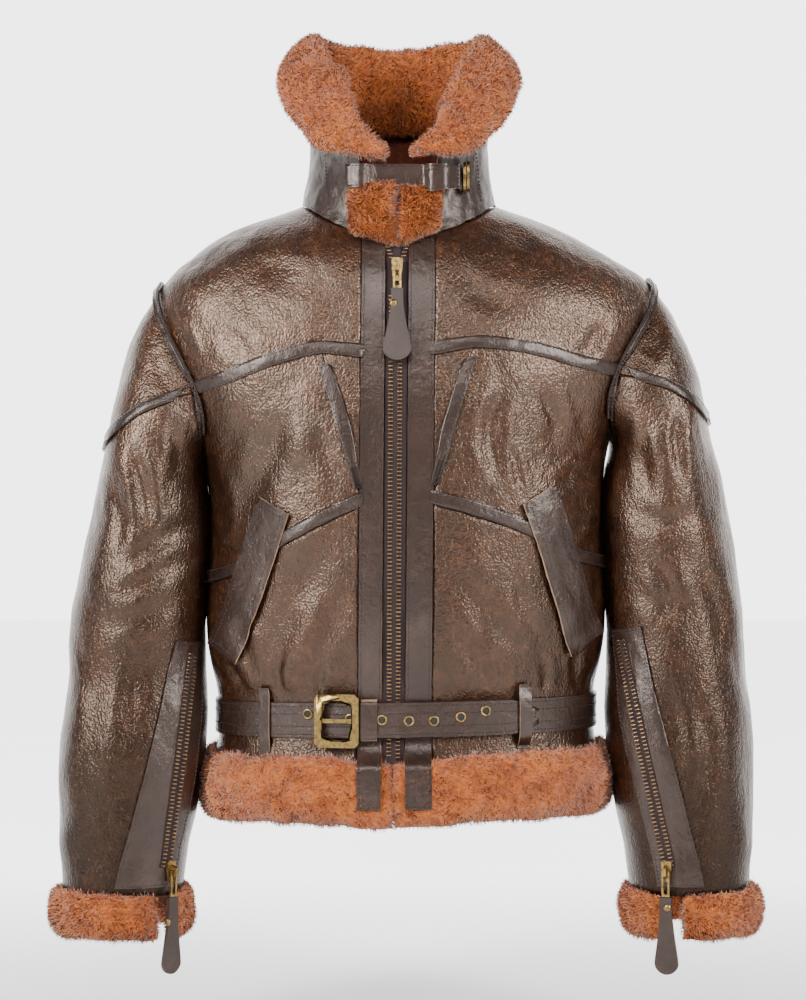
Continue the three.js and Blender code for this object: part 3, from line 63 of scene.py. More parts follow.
EYE = Vector((-0.003, -2.6, -0.293))
LENS = 62.4
SENSOR = 24
AIM = Vector((0, 0, -0.35))
FLOOR_LOW = -0.83
FLOOR_REACH = 9
# The photo's pixel that lies at X = 0, Z = 0. One pixel is a millimetre there.
ORIGIN_PIXEL = (406, 207)
# Half the trunk's width and depth, for the directions that point away from it.
TRUNK_HALF = (0.19, 0.115)
BELT_HEIGHT = -0.503

# Camera, light.

def camera():
    """The photo's view: level, from in front."""
    data = bpy.data.cameras.new("photo_camera")
    data.sensor_fit = "VERTICAL"
    data.sensor_height = SENSOR
    data.lens = LENS
    eye = bpy.data.objects.new("photo_camera", data)
    eye.location = EYE
    eye.rotation_euler = (math.radians(90), 0, 0)
    bpy.context.scene.collection.objects.link(eye)
    bpy.context.scene.camera = eye


def softbox(name, place, size, watts):
    data = bpy.data.lights.new(name, "AREA")
    data.shape = "RECTANGLE"
    data.size = size[0]
    data.size_y = size[1]
    data.energy = watts
    lamp = bpy.data.objects.new(name, data)
    lamp.location = place
    aim = AIM - Vector(place)
    lamp.rotation_euler = aim.to_track_quat("-Z", "Y").to_euler()
    bpy.context.scene.collection.objects.link(lamp)


def studio():
    """A white world behind the part, three softboxes and a plain pale floor that glows at its back."""
    world = bpy.data.worlds.new("studio")
    world.use_nodes = True
    tree = world.node_tree
    back = tree.nodes["Background"]
    way = tree.nodes.new("ShaderNodeTexCoord").outputs["Generated"]
    part = tree.nodes.new("ShaderNodeSeparateXYZ")
    tree.links.new(way, part.inputs[0])
    glow = tree.nodes.new("ShaderNodeMapRange")
    glow.interpolation_type = "SMOOTHSTEP"
    for key, value in ((1, 0.1), (2, 0.85), (3, 0.05), (4, 4.2)):
        glow.inputs[key].default_value = value
    tree.links.new(part.outputs["Y"], glow.inputs[0])
    tree.links.new(glow.outputs[0], back.inputs["Strength"])
    back.inputs["Color"].default_value = (1, 1, 1, 1)
    bpy.context.scene.world = world
    softbox("key", (-1.9, -1.9, 0.7), (0.7, 1.4), 118)
    softbox("fill", (2.0, -1.9, 0.7), (0.6, 1.4), 96)
    softbox("front", (-0.2, -3.0, 1.9), (1.2, 0.6), 46)
    mesh = bpy.data.meshes.new("floor")
    corners = [(-1, -1), (1, -1), (1, 1), (-1, 1)]
    spots = [(x * FLOOR_REACH, y * FLOOR_REACH, FLOOR_LOW) for x, y in corners]
    mesh.from_pydata(spots, [], [(0, 1, 2, 3)])
    ground = bpy.data.objects.new("floor", mesh)
    bpy.context.scene.collection.objects.link(ground)
    g = Graph("pale_floor")
    grain = g.add("ShaderNodeTexNoise", {"Scale": 3.0, "Detail": 2.0, "Vector": g.place()})
    tone = g.ramp(grain, [(0.3, (0.86, 0.86, 0.86)), (0.7, (0.9, 0.9, 0.9))])
    rows = g.add("ShaderNodeSeparateXYZ", {"Vector": g.place()}, "Y")
    glow = g.add("ShaderNodeMapRange", {0: rows, 1: 0.1, 2: 1.1, 3: 0.0, 4: 2.8})
    g.finish({"Base Color": tone, "Roughness": 0.7, "Emission Color": tone, "Emission Strength": glow})
    mesh.materials.append(g.material)

# Materials.

class Graph:
    """A small builder of node materials."""

    def __init__(self, name):
        self.material = bpy.data.materials.new(name)
        self.material.use_nodes = True
        self.tree = self.material.node_tree
        self.tree.nodes.clear()

    def add(self, kind, sockets, pick=0, **settings):
        node = self.tree.nodes.new(kind)
        for key, value in settings.items():
            setattr(node, key, value)
        for key, value in sockets.items():
            if isinstance(value, bpy.types.NodeSocket):
                self.tree.links.new(value, node.inputs[key])
            else:
                if isinstance(value, tuple) and len(value) == 3 and node.inputs[key].type == "RGBA":
                    value = value + (1,)
                node.inputs[key].default_value = value
        return node.outputs[pick]

    def place(self):
        return self.add("ShaderNodeTexCoord", {}, "Object")

    def mapped(self, spin=(0, 0, 0), scale=(1, 1, 1), base=None):
        base = base or self.place()
        return self.add("ShaderNodeMapping", {"Vector": base, "Rotation": spin, "Scale": scale})

    def noise(self, vector, scale, detail=3.0, rough=0.5, warp=0.0, kind="FBM"):
        return self.add("ShaderNodeTexNoise", {"Vector": vector, "Scale": scale, "Detail": detail,
                                               "Roughness": rough, "Distortion": warp}, noise_type=kind)

    def math(self, what, a, b=0.0, clamp=False):
        return self.add("ShaderNodeMath", {0: a, 1: b}, operation=what, use_clamp=clamp)

    def ramp(self, value, stops, ease="LINEAR"):
        node = self.tree.nodes.new("ShaderNodeValToRGB")
        node.color_ramp.interpolation = ease
        marks = node.color_ramp.elements
        while len(marks) < len(stops):
            marks.new(0.5)
        for mark, (at, tone) in zip(marks, stops):
            mark.position = at
            mark.color = (tone if isinstance(tone, tuple) else (tone, tone, tone)) + (1,)
        self.tree.links.new(value, node.inputs[0])
        return node.outputs[0]

    def mix(self, share, a, b, how="MIX"):
        node = self.tree.nodes.new("ShaderNodeMix")
        node.data_type = "RGBA"
        node.blend_type = how
        for index, value in ((0, share), (6, a), (7, b)):
            if isinstance(value, bpy.types.NodeSocket):
                self.tree.links.new(value, node.inputs[index])
            else:
                node.inputs[index].default_value = value + (1,) if isinstance(value, tuple) else value
        return node.outputs[2]

    def bump(self, height, distance, strength=1.0, under=None):
        sockets = {"Height": height, "Distance": distance, "Strength": strength}
        if under is not None:
            sockets["Normal"] = under
        return self.add("ShaderNodeBump", sockets)

    def finish(self, sockets):
        body = self.tree.nodes.new("ShaderNodeBsdfPrincipled")
        for key, value in sockets.items():
            if isinstance(value, bpy.types.NodeSocket):
                self.tree.links.new(value, body.inputs[key])
            else:
                if isinstance(value, tuple):
                    value = value + (1,)
                body.inputs[key].default_value = value
        end = self.tree.nodes.new("ShaderNodeOutputMaterial")
        self.tree.links.new(body.outputs[0], end.inputs[0])


def hide_material(name, tilt, warmth=0.0, low=0.75):
    """Worn glossy hide: mottled colour, pebble grain, creases that run at the tilt, painted shade in the
    crease valleys, and painted shade that darkens it and dims its reflection low down.
    """
    g = Graph(name)
    at = g.place()
    clouds = g.noise(at, 8, 4, 0.6, 0.6)
    blotch = g.noise(at, 60, 6, 0.7, 0.8)
    speck = g.noise(at, 640, 3, 0.6)
    along = g.mapped((0, tilt, 0), (1, 1, 0.5))
    creases = g.noise(along, 290, 2.5, 0.55, 0.7)
    across = g.noise(g.mapped((0, tilt + 1.0, 0), (1, 1, 0.55)), 440, 2.0, 0.5, 0.5)
    pebble = g.add("ShaderNodeTexVoronoi", {"Vector": at, "Scale": 480.0, "Smoothness": 0.7,
                                            "Randomness": 1.0}, "Distance", feature="SMOOTH_F1")
    dark, mid = (0.007, 0.0021, 0.0009), (0.023, 0.0076, 0.0030)
    light, pale = (0.047, 0.0180, 0.0080), (0.12, 0.060, 0.034)
    tone = g.ramp(blotch, [(0.30, dark), (0.50, mid), (0.70, light)])
    wide = g.ramp(clouds, [(0.34, (0.70, 0.67, 0.64)),
                           (0.66, (1.35 + warmth, 1.32 + warmth * 0.9, 1.28 + warmth * 0.8))])
    tone = g.mix(1.0, tone, wide, "MULTIPLY")
    rubbed = g.ramp(creases, [(0.52, 0.0), (0.72, 1.0)])
    wear = g.math("MULTIPLY", rubbed, g.ramp(blotch, [(0.46, 0.0), (0.72, 0.6)]))
    tone = g.mix(wear, tone, pale)
    tone = g.mix(g.ramp(speck, [(0.34, 0.6), (0.47, 0.0)]), tone, dark)
    # Painted shade: the valleys of the creases are darkened.
    tone = g.mix(g.ramp(creases, [(0.34, 0.75), (0.50, 0.0)]), tone, dark)
    height = g.math("ADD", creases, g.math("MULTIPLY", across, 0.5))
    height = g.math("ADD", height, g.math("MULTIPLY", pebble, -0.6))
    grain = g.bump(height, 0.00068, 1.0)
    rough = g.ramp(blotch, [(0.3, 0.38), (0.7, 0.27)])
    # Painted shade low down: colour and reflection fall to low of their strength from Z -0.22 down to Z
    # -0.68.
    height = g.add("ShaderNodeSeparateXYZ", {"Vector": at}, "Z")
    low_shade = g.add("ShaderNodeMapRange", {0: height, 1: -0.68, 2: -0.22, 3: low, 4: 1.0})
    tone = g.mix(1.0, tone, low_shade, "MULTIPLY")
    shine = g.math("MULTIPLY", low_shade, 0.85)
    g.finish({"Base Color": tone, "Roughness": rough, "Normal": grain, "Specular IOR Level": shine,
              "Specular Tint": (1.0, 0.74, 0.58)})
    return g.material


def trim_material(name, tone, shine=0.3, scuff=0.35):
    """Smooth finished leather: fine pores, faint ripples and rubbed highlights."""
    g = Graph(name)
    at = g.place()
    cloud = g.noise(at, 30, 4, 0.6, 0.4)
    pores = g.noise(at, 900, 3, 0.6)
    ripple = g.noise(at, 120, 2, 0.5, 0.6)
    darker = tuple(c * 0.62 for c in tone)
    lighter = tuple(min(1, c * (1 + scuff) + 0.006) for c in tone)
    colour = g.ramp(cloud, [(0.32, darker), (0.5, tone), (0.72, lighter)])
    lines = g.noise(g.mapped((0, 0.3, 0), (1, 1, 0.6)), 340, 3, 0.6, 0.8)
    height = g.math("ADD", ripple, g.math("MULTIPLY", pores, 0.16))
    height = g.math("ADD", height, g.math("MULTIPLY", lines, 0.45))
    g.finish({"Base Color": colour, "Roughness": g.ramp(cloud, [(0.3, shine + 0.1), (0.7, shine)]),
              "Normal": g.bump(height, 0.0011, 0.7), "Specular IOR Level": 0.6,
              "Specular Tint": (1.0, 0.84, 0.76), "Coat Weight": 0.12, "Coat Roughness": 0.25})
    return g.material


def wool_material(name, low, mid, high):
    """Short dense pile: clumps and fine lines, matte, for the skin under the strands and inside."""
    g = Graph(name)
    at = g.place()
    tufts = g.noise(at, 130, 5, 0.7, 1.4)
    clumps = g.noise(at, 38, 3, 0.55, 0.5)
    colour = g.mix(0.5, g.ramp(tufts, [(0.3, low), (0.5, mid), (0.72, high)]),
                   g.ramp(clumps, [(0.35, low), (0.5, mid), (0.66, high)]))
    height = g.math("ADD", tufts, g.math("MULTIPLY", clumps, 0.8))
    g.finish({"Base Color": colour, "Roughness": 0.92, "Normal": g.bump(height, 0.006, 0.9),
              "Sheen Weight": 0.35, "Sheen Roughness": 0.4})
    return g.material


def strand_material(name, dark, root, middle, tip):
    """Wool strands: each strand's own tone runs from its root to its tip, with painted shade at the root."""
    g = Graph(name)
    tone = g.add("ShaderNodeAttribute", {}, "Fac", attribute_name="tone")
    colour = g.ramp(tone, [(0.0, dark), (0.3, root), (0.62, middle), (1.0, tip)])
    g.finish({"Base Color": colour, "Roughness": 0.8, "Sheen Weight": 0.25, "Sheen Roughness": 0.5})
    return g.material


def brass_material(name, tone, shine):
    """Old brass: dull in its dirt and bright where it rubs."""
    g = Graph(name)
    at = g.place()
    dirt = g.noise(at, 240, 5, 0.7, 0.3)
    fine = g.noise(at, 1500, 2, 0.5)
    dull = tuple(c * 0.32 for c in tone)
    colour = g.ramp(dirt, [(0.36, dull), (0.58, tone)])
    rough = g.ramp(dirt, [(0.35, shine + 0.22), (0.65, shine)])
    g.finish({"Base Color": colour, "Metallic": 1.0, "Roughness": rough,
              "Normal": g.bump(fine, 0.0003, 0.4)})
    return g.material


def thread_material(name, tone):
    """Twisted sewing thread."""
    g = Graph(name)
    at = g.mapped((0, 0.6, 0), (1, 1, 0.4))
    twist = g.noise(at, 1800, 2, 0.5)
    colour = g.ramp(twist, [(0.35, tuple(c * 0.6 for c in tone)), (0.65, tone)])
    g.finish({"Base Color": colour, "Roughness": 0.7, "Normal": g.bump(twist, 0.0003, 0.6)})
    return g.material


def weave_material(name, tone):
    """Twill zip cloth: narrow ribs with a little colour change."""
    g = Graph(name)
    shape = {"Vector": g.place(), "Scale": 330.0, "Distortion": 1.5, "Detail": 2.0}
    ribs = g.add("ShaderNodeTexWave", shape, 1, bands_direction="Z")
    cloud = g.noise(g.place(), 90, 3, 0.6)
    colour = g.ramp(cloud, [(0.3, tuple(c * 0.6 for c in tone)), (0.7, tone)])
    g.finish({"Base Color": colour, "Roughness": 0.85, "Normal": g.bump(ribs, 0.0004, 0.6)})
    return g.material


MATERIALS = {}


def materials():
    MATERIALS.update(
        yoke=hide_material("hide_yoke", 1.25, 0.3),
        chest=hide_material("hide_chest", 0.25),
        lower=hide_material("hide_lower", -0.5),
        # The sleeves take deeper painted shade low down than the trunk.
        sleeve=hide_material("hide_sleeve", 0.12, 0.0, 0.42),
        trim=trim_material("trim_leather", (0.014, 0.0062, 0.0042), 0.31),
        facing=trim_material("facing_leather", (0.017, 0.0076, 0.0052), 0.29, 0.5),
        stand=trim_material("stand_leather", (0.013, 0.0064, 0.0048), 0.36),
        tab=trim_material("tab_leather", (0.016, 0.0070, 0.0046), 0.5, 0.3),
        edge=trim_material("raw_edge", (0.30, 0.185, 0.115), 0.6, 0.3),
        # Inner wool: the rust wool of the pile drawn far darker, with painted shade inside the jacket.
        lining=wool_material("inner_wool_painted_shade", (0.045, 0.007, 0.0015), (0.15, 0.024, 0.004),
                             (0.25, 0.050, 0.009)),
        wool=wool_material("wool_skin", (0.16, 0.026, 0.003), (0.40, 0.090, 0.010), (0.56, 0.16, 0.026)),
        strands=strand_material("wool_strands", (0.09, 0.012, 0.0014), (0.29, 0.050, 0.005),
                                (0.50, 0.118, 0.013), (0.74, 0.245, 0.040)),
        brass=brass_material("antique_brass", (0.36, 0.235, 0.085), 0.26),
        teeth=brass_material("tooth_brass", (0.42, 0.25, 0.12), 0.32),
        thread=thread_material("dark_thread", (0.035, 0.020, 0.016)),
        cloth=weave_material("zip_cloth", (0.022, 0.009, 0.009)),
        # Painted shade: a near-black disc stands for the shaded inside of each belt eyelet.
        dark=thread_material("eyelet_hole_shade", (0.008, 0.005, 0.004)),
    )

# Mesh helpers.

def lattice(points, scale, shift=0.0):
    """Smooth value noise from -1 to 1 at each point."""
    at = points * scale + 40 + shift
    cell = np.floor(at).astype(int)
    f = at - cell
    f = f * f * (3 - 2 * f)
    total = np.zeros(len(points))
    for dx in (0, 1):
        for dy in (0, 1):
            for dz in (0, 1):
                share = np.abs(1 - dx - f[:, 0]) * np.abs(1 - dy - f[:, 1]) * np.abs(1 - dz - f[:, 2])
                x, y, z = ((cell + (dx, dy, dz)) % LATTICE_SIZE).T
                total += share * LATTICE[x, y, z]
    return total * 2 - 1


def ease(low, high, value):
    """0 to 1 in a soft step between the two marks."""
    t = np.clip((value - low) / (high - low), 0, 1)
    return t * t * (3 - 2 * t)


def coords(mesh):
    flat = np.empty(len(mesh.vertices) * 3)
    mesh.vertices.foreach_get("co", flat)
    return flat.reshape(-1, 3)


def put_coords(mesh, points):
    mesh.vertices.foreach_set("co", np.ascontiguousarray(points, dtype=float).ravel())
    mesh.update()


def normals(mesh):
    flat = np.empty(len(mesh.vertices) * 3)
    mesh.vertex_normals.foreach_get("vector", flat)
    return flat.reshape(-1, 3)


def thing(name, mesh, stands_for=(), body="root"):
    """A visible piece: it rides on its body and replaces the nodes it stands for."""
    obj = bpy.data.objects.new(name, mesh)
    bpy.context.scene.collection.objects.link(obj)
    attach(obj, body)
    if stands_for:
        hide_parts(*stands_for)
    return obj


def smooth(mesh, angle=None):
    for face in mesh.polygons:
        face.use_smooth = True
    if angle is not None:
        mesh.set_sharp_from_angle(angle=math.radians(angle))


def welded(name, sharp=38):
    """The node's mesh with its facets joined into quads and its hard edges creased."""
    work = bmesh.new()
    work.from_mesh(NODES[name].data)
    bmesh.ops.remove_doubles(work, verts=work.verts, dist=2e-5)
    bmesh.ops.join_triangles(work, faces=work.faces, angle_face_threshold=math.radians(24),
                             angle_shape_threshold=math.radians(70), cmp_seam=False, cmp_sharp=False,
                             cmp_uvs=False, cmp_vcols=False, cmp_materials=False)
    crease = work.edges.layers.float.new("crease_edge")
    for edge in work.edges:
        if len(edge.link_faces) == 2 and edge.calc_face_angle(0) > math.radians(sharp):
            edge[crease] = 1.0
    return work


def refined(work, levels):
    """The subdivided mesh of a bmesh cage."""
    mesh = bpy.data.meshes.new("cage")
    work.to_mesh(mesh)
    work.free()
    if not levels:
        return mesh
    holder = bpy.data.objects.new("cage", mesh)
    bpy.context.scene.collection.objects.link(holder)
    step = holder.modifiers.new("fine", "SUBSURF")
    step.levels = levels
    step.render_levels = levels
    bpy.context.view_layer.update()
    fine = bpy.data.meshes.new_from_object(holder.evaluated_get(bpy.context.evaluated_depsgraph_get()))
    bpy.data.objects.remove(holder)
    bpy.data.meshes.remove(mesh)
    return fine


def outward(points, sleeve):
    """Unit directions away from the trunk's or the sleeve's own axis."""
    if sleeve:
        line = SLEEVE_AXIS[sleeve]
        away = points.copy()
        away[:, 0] -= np.interp(points[:, 2], line[:, 2], line[:, 0])
        away[:, 1] -= np.interp(points[:, 2], line[:, 2], line[:, 1])
        away[:, 2] = 0
    else:
        wide, deep = TRUNK_HALF
        away = np.column_stack([points[:, 0] / wide ** 2, points[:, 1] / deep ** 2, np.zeros(len(points))])
        rise = ease(-0.13, -0.02, points[:, 2]) * ease(0.05, 0.12, np.abs(points[:, 0]))
        away /= np.maximum(np.linalg.norm(away, axis=1), 1e-9)[:, None]
        away[:, 2] += rise * 1.4
    return away / np.maximum(np.linalg.norm(away, axis=1), 1e-9)[:, None]


SLEEVE_AXIS = {}


def find_axes():
    """Middles of each sleeve, down its length."""
    for side in SIDES:
        points = np.vstack([coords(NODES[n + side].data) for n in ("sleeve_cap_", "sleeve_lower_")])
        rows = []
        for low in np.arange(-0.69, -0.16, 0.04):
            near = points[np.abs(points[:, 2] - low) < 0.03]
            if len(near):
                rows.append((*((near[:, :2].min(axis=0) + near[:, :2].max(axis=0)) / 2), low))
        SLEEVE_AXIS[side] = np.array(rows)


def photo(px, py):
    """The photo's pixel as X and Z in metres on the plane through the side seams."""
    return (px - ORIGIN_PIXEL[0]) / 1000, (ORIGIN_PIXEL[1] - py) / 1000


def crease_run(points, line, width):
    """Distance to a broken line in the picture plane, and a share that dies off at its ends."""
    best = np.full(len(points), 9.0)
    share = np.zeros(len(points))
    stops = [np.array(photo(*p)) for p in line]
    reach = sum(np.linalg.norm(b - a) for a, b in zip(stops, stops[1:]))
    done = 0.0
    for a, b in zip(stops, stops[1:]):
        step = b - a
        long = np.linalg.norm(step)
        t = np.clip(((points[:, 0] - a[0]) * step[0] + (points[:, 1] - a[1]) * step[1]) / long ** 2, 0, 1)
        gap = np.hypot(points[:, 0] - a[0] - t * step[0], points[:, 1] - a[1] - t * step[1])
        along = (done + t * long) / reach
        fade = ease(0, 0.35, along) * ease(0, 0.35, 1 - along)
        closer = gap < best
        share[closer] = fade[closer]
        best = np.minimum(best, gap)
        done += long
    side = best / width
    return (-np.exp(-side ** 2) + 0.45 * np.exp(-((side - 2.1) / 0.9) ** 2)) * share


# Soft troughs drawn over the photo: where, points in its pixels, half width and depth in mm.
TROUGHS = {
    "front": [
        ([(181, 322), (189, 350), (197, 392)], 6, 4.5), ([(222, 330), (246, 350), (262, 372)], 9, 1.6),
        ([(293, 405), (283, 440), (262, 487), (255, 520)], 11, 2.6),
        ([(318, 430), (335, 470), (350, 492)], 9, 1.6),
        ([(362, 512), (318, 560), (283, 640), (262, 690)], 12, 2.6),
        ([(352, 585), (320, 640), (306, 700)], 9, 2.0),
        ([(236, 600), (252, 640), (262, 680)], 6, 1.8), ([(228, 648), (246, 672), (251, 700)], 5, 1.8),
        ([(214, 470), (226, 500), (222, 540)], 7, 2.0), ([(205, 560), (222, 556), (240, 548)], 6, 1.8),
        ([(503, 383), (488, 420), (487, 447), (497, 488)], 8, 3.6),
        ([(536, 392), (552, 425), (548, 452)], 7, 1.8),
        ([(517, 497), (510, 465), (503, 440)], 4, 1.8), ([(548, 487), (570, 472), (600, 478)], 5, 2.2),
        ([(560, 500), (582, 505), (603, 498)], 5, 1.8), ([(570, 366), (585, 352), (598, 325)], 7, 2.2),
        ([(430, 545), (470, 590), (512, 640), (530, 668)], 9, 2.2),
        ([(440, 612), (470, 650), (486, 690)], 7, 2.0),
        ([(600, 520), (590, 540), (572, 552)], 6, 2.4), ([(506, 560), (520, 610), (540, 645)], 6, 1.8),
        ([(432, 262), (470, 300), (520, 318)], 10, 1.4), ([(250, 262), (300, 285), (352, 290)], 12, 1.4),
        ([(220, 705), (240, 735), (238, 748)], 6, 2.0), ([(560, 690), (575, 715), (572, 745)], 6, 2.0),
        ([(288, 640), (283, 665), (287, 696)], 4, 2.4), ([(330, 650), (322, 672), (326, 698)], 4, 2.2),
        ([(352, 655), (349, 676), (351, 698)], 3.5, 1.8), ([(446, 640), (452, 668), (448, 696)], 4, 2.4),
        ([(492, 640), (499, 664), (494, 690)], 4, 2.4), ([(536, 650), (543, 668), (539, 688)], 4, 2.0),
        ([(466, 600), (478, 622), (482, 650)], 5, 1.8), ([(580, 640), (572, 660), (577, 688)], 4, 2.2),
    ],
    "back": [
        ([(200, 330), (215, 372), (210, 420)], 8, 3.2), ([(600, 322), (584, 370), (592, 425)], 8, 3.2),
        ([(330, 300), (400, 322), (480, 302)], 14, 2.0), ([(300, 420), (330, 480), (320, 545)], 11, 2.4),
        ([(505, 415), (470, 470), (486, 540)], 11, 2.4), ([(260, 575), (300, 620), (290, 690)], 10, 2.6),
        ([(540, 570), (505, 620), (520, 690)], 10, 2.6), ([(400, 560), (392, 620), (405, 690)], 10, 2.0),
        ([(225, 500), (250, 520), (285, 515)], 7, 2.0), ([(580, 495), (552, 520), (520, 512)], 7, 2.0),
    ],
    "right": [
        ([(138, 438), (150, 480), (160, 535)], 6.5, 4.2), ([(178, 410), (184, 450), (182, 492)], 6, 2.6),
        ([(205, 515), (168, 540), (126, 566)], 7, 3.4), ([(200, 545), (160, 577), (112, 600)], 7, 2.6),
        ([(118, 470), (128, 520), (126, 560)], 6, 2.2), ([(196, 590), (150, 612), (96, 622)], 8, 2.4),
        ([(150, 640), (140, 700), (146, 760)], 9, 2.0), ([(112, 655), (104, 720), (96, 790)], 9, 1.8),
        ([(150, 330), (164, 352), (170, 380)], 6, 1.8),
    ],
    "left": [
        ([(674, 404), (667, 440), (674, 488)], 5.5, 3.4), ([(640, 415), (636, 450), (645, 500)], 6, 2.6),
        ([(618, 512), (655, 522), (700, 512)], 7, 3.0), ([(645, 552), (662, 590), (660, 620)], 7, 2.8),
        ([(690, 560), (712, 610), (716, 650)], 8, 2.2), ([(622, 580), (650, 605), (694, 600)], 7, 2.2),
        ([(690, 690), (700, 740), (694, 800)], 9, 2.0), ([(650, 660), (668, 720), (672, 790)], 8, 1.8),
        ([(640, 300), (652, 335), (650, 372)], 6, 1.8),
    ],
}


MOST_RELIEF = 0.0042


def relief(points, sleeve, fixed):
    """How far each point of the cloth moves outward, in metres: troughs, slack and fine wrinkles."""
    flat = points[:, [0, 2]]
    total = np.zeros(len(points))
    if sleeve:
        for line, width, depth in TROUGHS[sleeve]:
            axis = np.interp(points[:, 2], SLEEVE_AXIS[sleeve][:, 2], SLEEVE_AXIS[sleeve][:, 1])
            facing = ease(-0.015, 0.03, axis - points[:, 1])
            total += crease_run(flat, line, width / 1000) * depth / 1000 * facing
            behind = 1 - ease(-0.03, 0.015, axis - points[:, 1])
            total += crease_run(flat + [0.006, 0.021], line, width / 1000) * depth / 1000 * behind * 0.8
    else:
        front = ease(0.0, 0.03, -points[:, 1])
        for line, width, depth in TROUGHS["front"]:
            total += crease_run(flat, line, width / 1000) * depth / 1000 * front
        for line, width, depth in TROUGHS["back"]:
            total += crease_run(flat, line, width / 1000) * depth / 1000 * (1 - front)
    total += lattice(points, 13, 3) * 0.0036 + lattice(points, 30, 9) * 0.0019
    slant = np.column_stack([points[:, 0] + points[:, 2] * 0.35, points[:, 1], points[:, 2] * 0.42])
    ridges = 1 - np.abs(lattice(slant, 74, 5))
    total += (ridges ** 2 - 0.5) * 0.0011 * (0.5 + 0.5 * lattice(points, 22, 1))
    cross = np.column_stack([points[:, 0] * 0.4, points[:, 1], points[:, 2] - points[:, 0] * 0.3])
    total += (1 - np.abs(lattice(cross, 120, 7)) - 0.5) * 0.0006 * (0.5 + 0.5 * lattice(points, 25, 4))
    belt = ease(0.018, 0.034, np.abs(points[:, 2] - BELT_HEIGHT)) if not sleeve else 1.0
    return np.minimum(total, MOST_RELIEF) * belt * fixed


def hold_near(points, tree, near=0.006, far=0.03):
    """0 at the held lines and 1 away from them."""
    gaps = np.array([tree.find(p)[2] for p in points])
    return ease(near, far, gaps)


def tree_of(spots):
    """A search tree over the points."""
    tree = KDTree(len(spots))
    for k, p in enumerate(spots):
        tree.insert(p, k)
    tree.balance()
    return tree

# Cloth and trim.

# Armhole seams, where the cloth of the trunk and of each sleeve is held.
HOLD = {}


# Height in metres and millimetres that each sleeve leans in on the body's side there.
LEAN = np.array([(-0.63, 0), (-0.60, 4), (-0.54, 8.5), (-0.50, 8.5), (-0.46, 5.5), (-0.42, 4.4), (-0.38, 7.5),
                 (-0.34, 11), (-0.30, 14), (-0.26, 11), (-0.235, 3), (-0.22, 0)])


def moved(points, sleeve):
    """The points after the cloth's relief, which dies off at sewn ends and hard fittings."""
    if sleeve:
        fixed = hold_near(points, HOLD[sleeve]) * ease(-0.668, -0.63, points[:, 2])
    else:
        fixed = hold_near(points, HOLD["trunk"])
        fixed = fixed * ease(-0.545, -0.525, points[:, 2]) * ease(-0.004, -0.03, points[:, 2])
        front = ease(0, 0.03, -points[:, 1])
        fixed *= 1 - front * (1 - ease(0.03, 0.062, np.abs(points[:, 0])))
    way = outward(points, sleeve)
    lift = relief(points, sleeve, fixed)
    if sleeve:
        inner = ease(0.3, 0.95, -way[:, 0] * SIDES[sleeve])
        lift = lift * (1 - 0.85 * inner) + inner * np.interp(points[:, 2], LEAN[:, 0], LEAN[:, 1]) / 1000
    else:
        beside = ease(0.182, 0.194, np.abs(points[:, 0]))
        lift = lift * (1 - 0.85 * beside * ease(-0.2, -0.24, points[:, 2]))
    return points + way * lift[:, None]


def paint_sides(mesh, sleeve, outer, inner, edge):
    """Outer faces take the hide, inner faces the wool and the cut edges the raw skin."""
    for name in (outer, inner, edge):
        mesh.materials.append(MATERIALS[name])
    count = len(mesh.polygons)
    centre = np.empty(count * 3)
    face = np.empty(count * 3)
    mesh.polygons.foreach_get("center", centre)
    mesh.polygons.foreach_get("normal", face)
    centre, face = centre.reshape(-1, 3), face.reshape(-1, 3)
    out = np.einsum("ij,ij->i", face, outward(centre, sleeve))
    pick = np.where(out > 0.32, 0, np.where(out < -0.32, 1, 2))
    mesh.polygons.foreach_set("material_index", pick)
    return pick


def cloth(node, look, sleeve=None):
    """A hide panel: fine on its outer side, with its creases, and wool inside."""
    mesh = refined(welded(node), 2)
    work = bmesh.new()
    work.from_mesh(mesh)
    spots = np.array([f.calc_center_median()[:] for f in work.faces])
    away = outward(spots, sleeve)
    work.faces.ensure_lookup_table()
    edges = set()
    for face, way in zip(work.faces, away):
        if face.normal.dot(Vector(way)) > 0.32:
            edges.update(face.edges)
    bmesh.ops.subdivide_edges(work, edges=list(edges), cuts=1, use_grid_fill=True)
    bmesh.ops.triangulate(work, faces=[f for f in work.faces if len(f.verts) > 4])
    work.to_mesh(mesh)
    work.free()
    put_coords(mesh, moved(coords(mesh), sleeve))
    paint_sides(mesh, sleeve, look, "lining", "edge")
    smooth(mesh, 50)
    return thing("hide_" + node, mesh, [node])


# How much wider and longer than its solid each kind of tape is drawn.
TAPE_SPREAD = {"armhole": (0.15, 0.0), "sleeve": (0.42, 2.2), "gore": (0.42, 1.7)}


def widened(points, wider, longer, reach=0.014):
    """A tape's points spread from its middle line, and its ends run on under what crosses them."""
    tree = tree_of(points)
    spread = np.empty_like(points)
    for k, p in enumerate(points):
        near = points[[hit[1] for hit in tree.find_range(p, reach)]]
        middle = near.mean(axis=0)
        axis = np.linalg.eigh(np.cov((near - middle).T))[1][:, -1]
        away = p - middle
        along = away @ axis
        spread[k] = p + (away - axis * along) * wider + axis * along * longer
    return spread


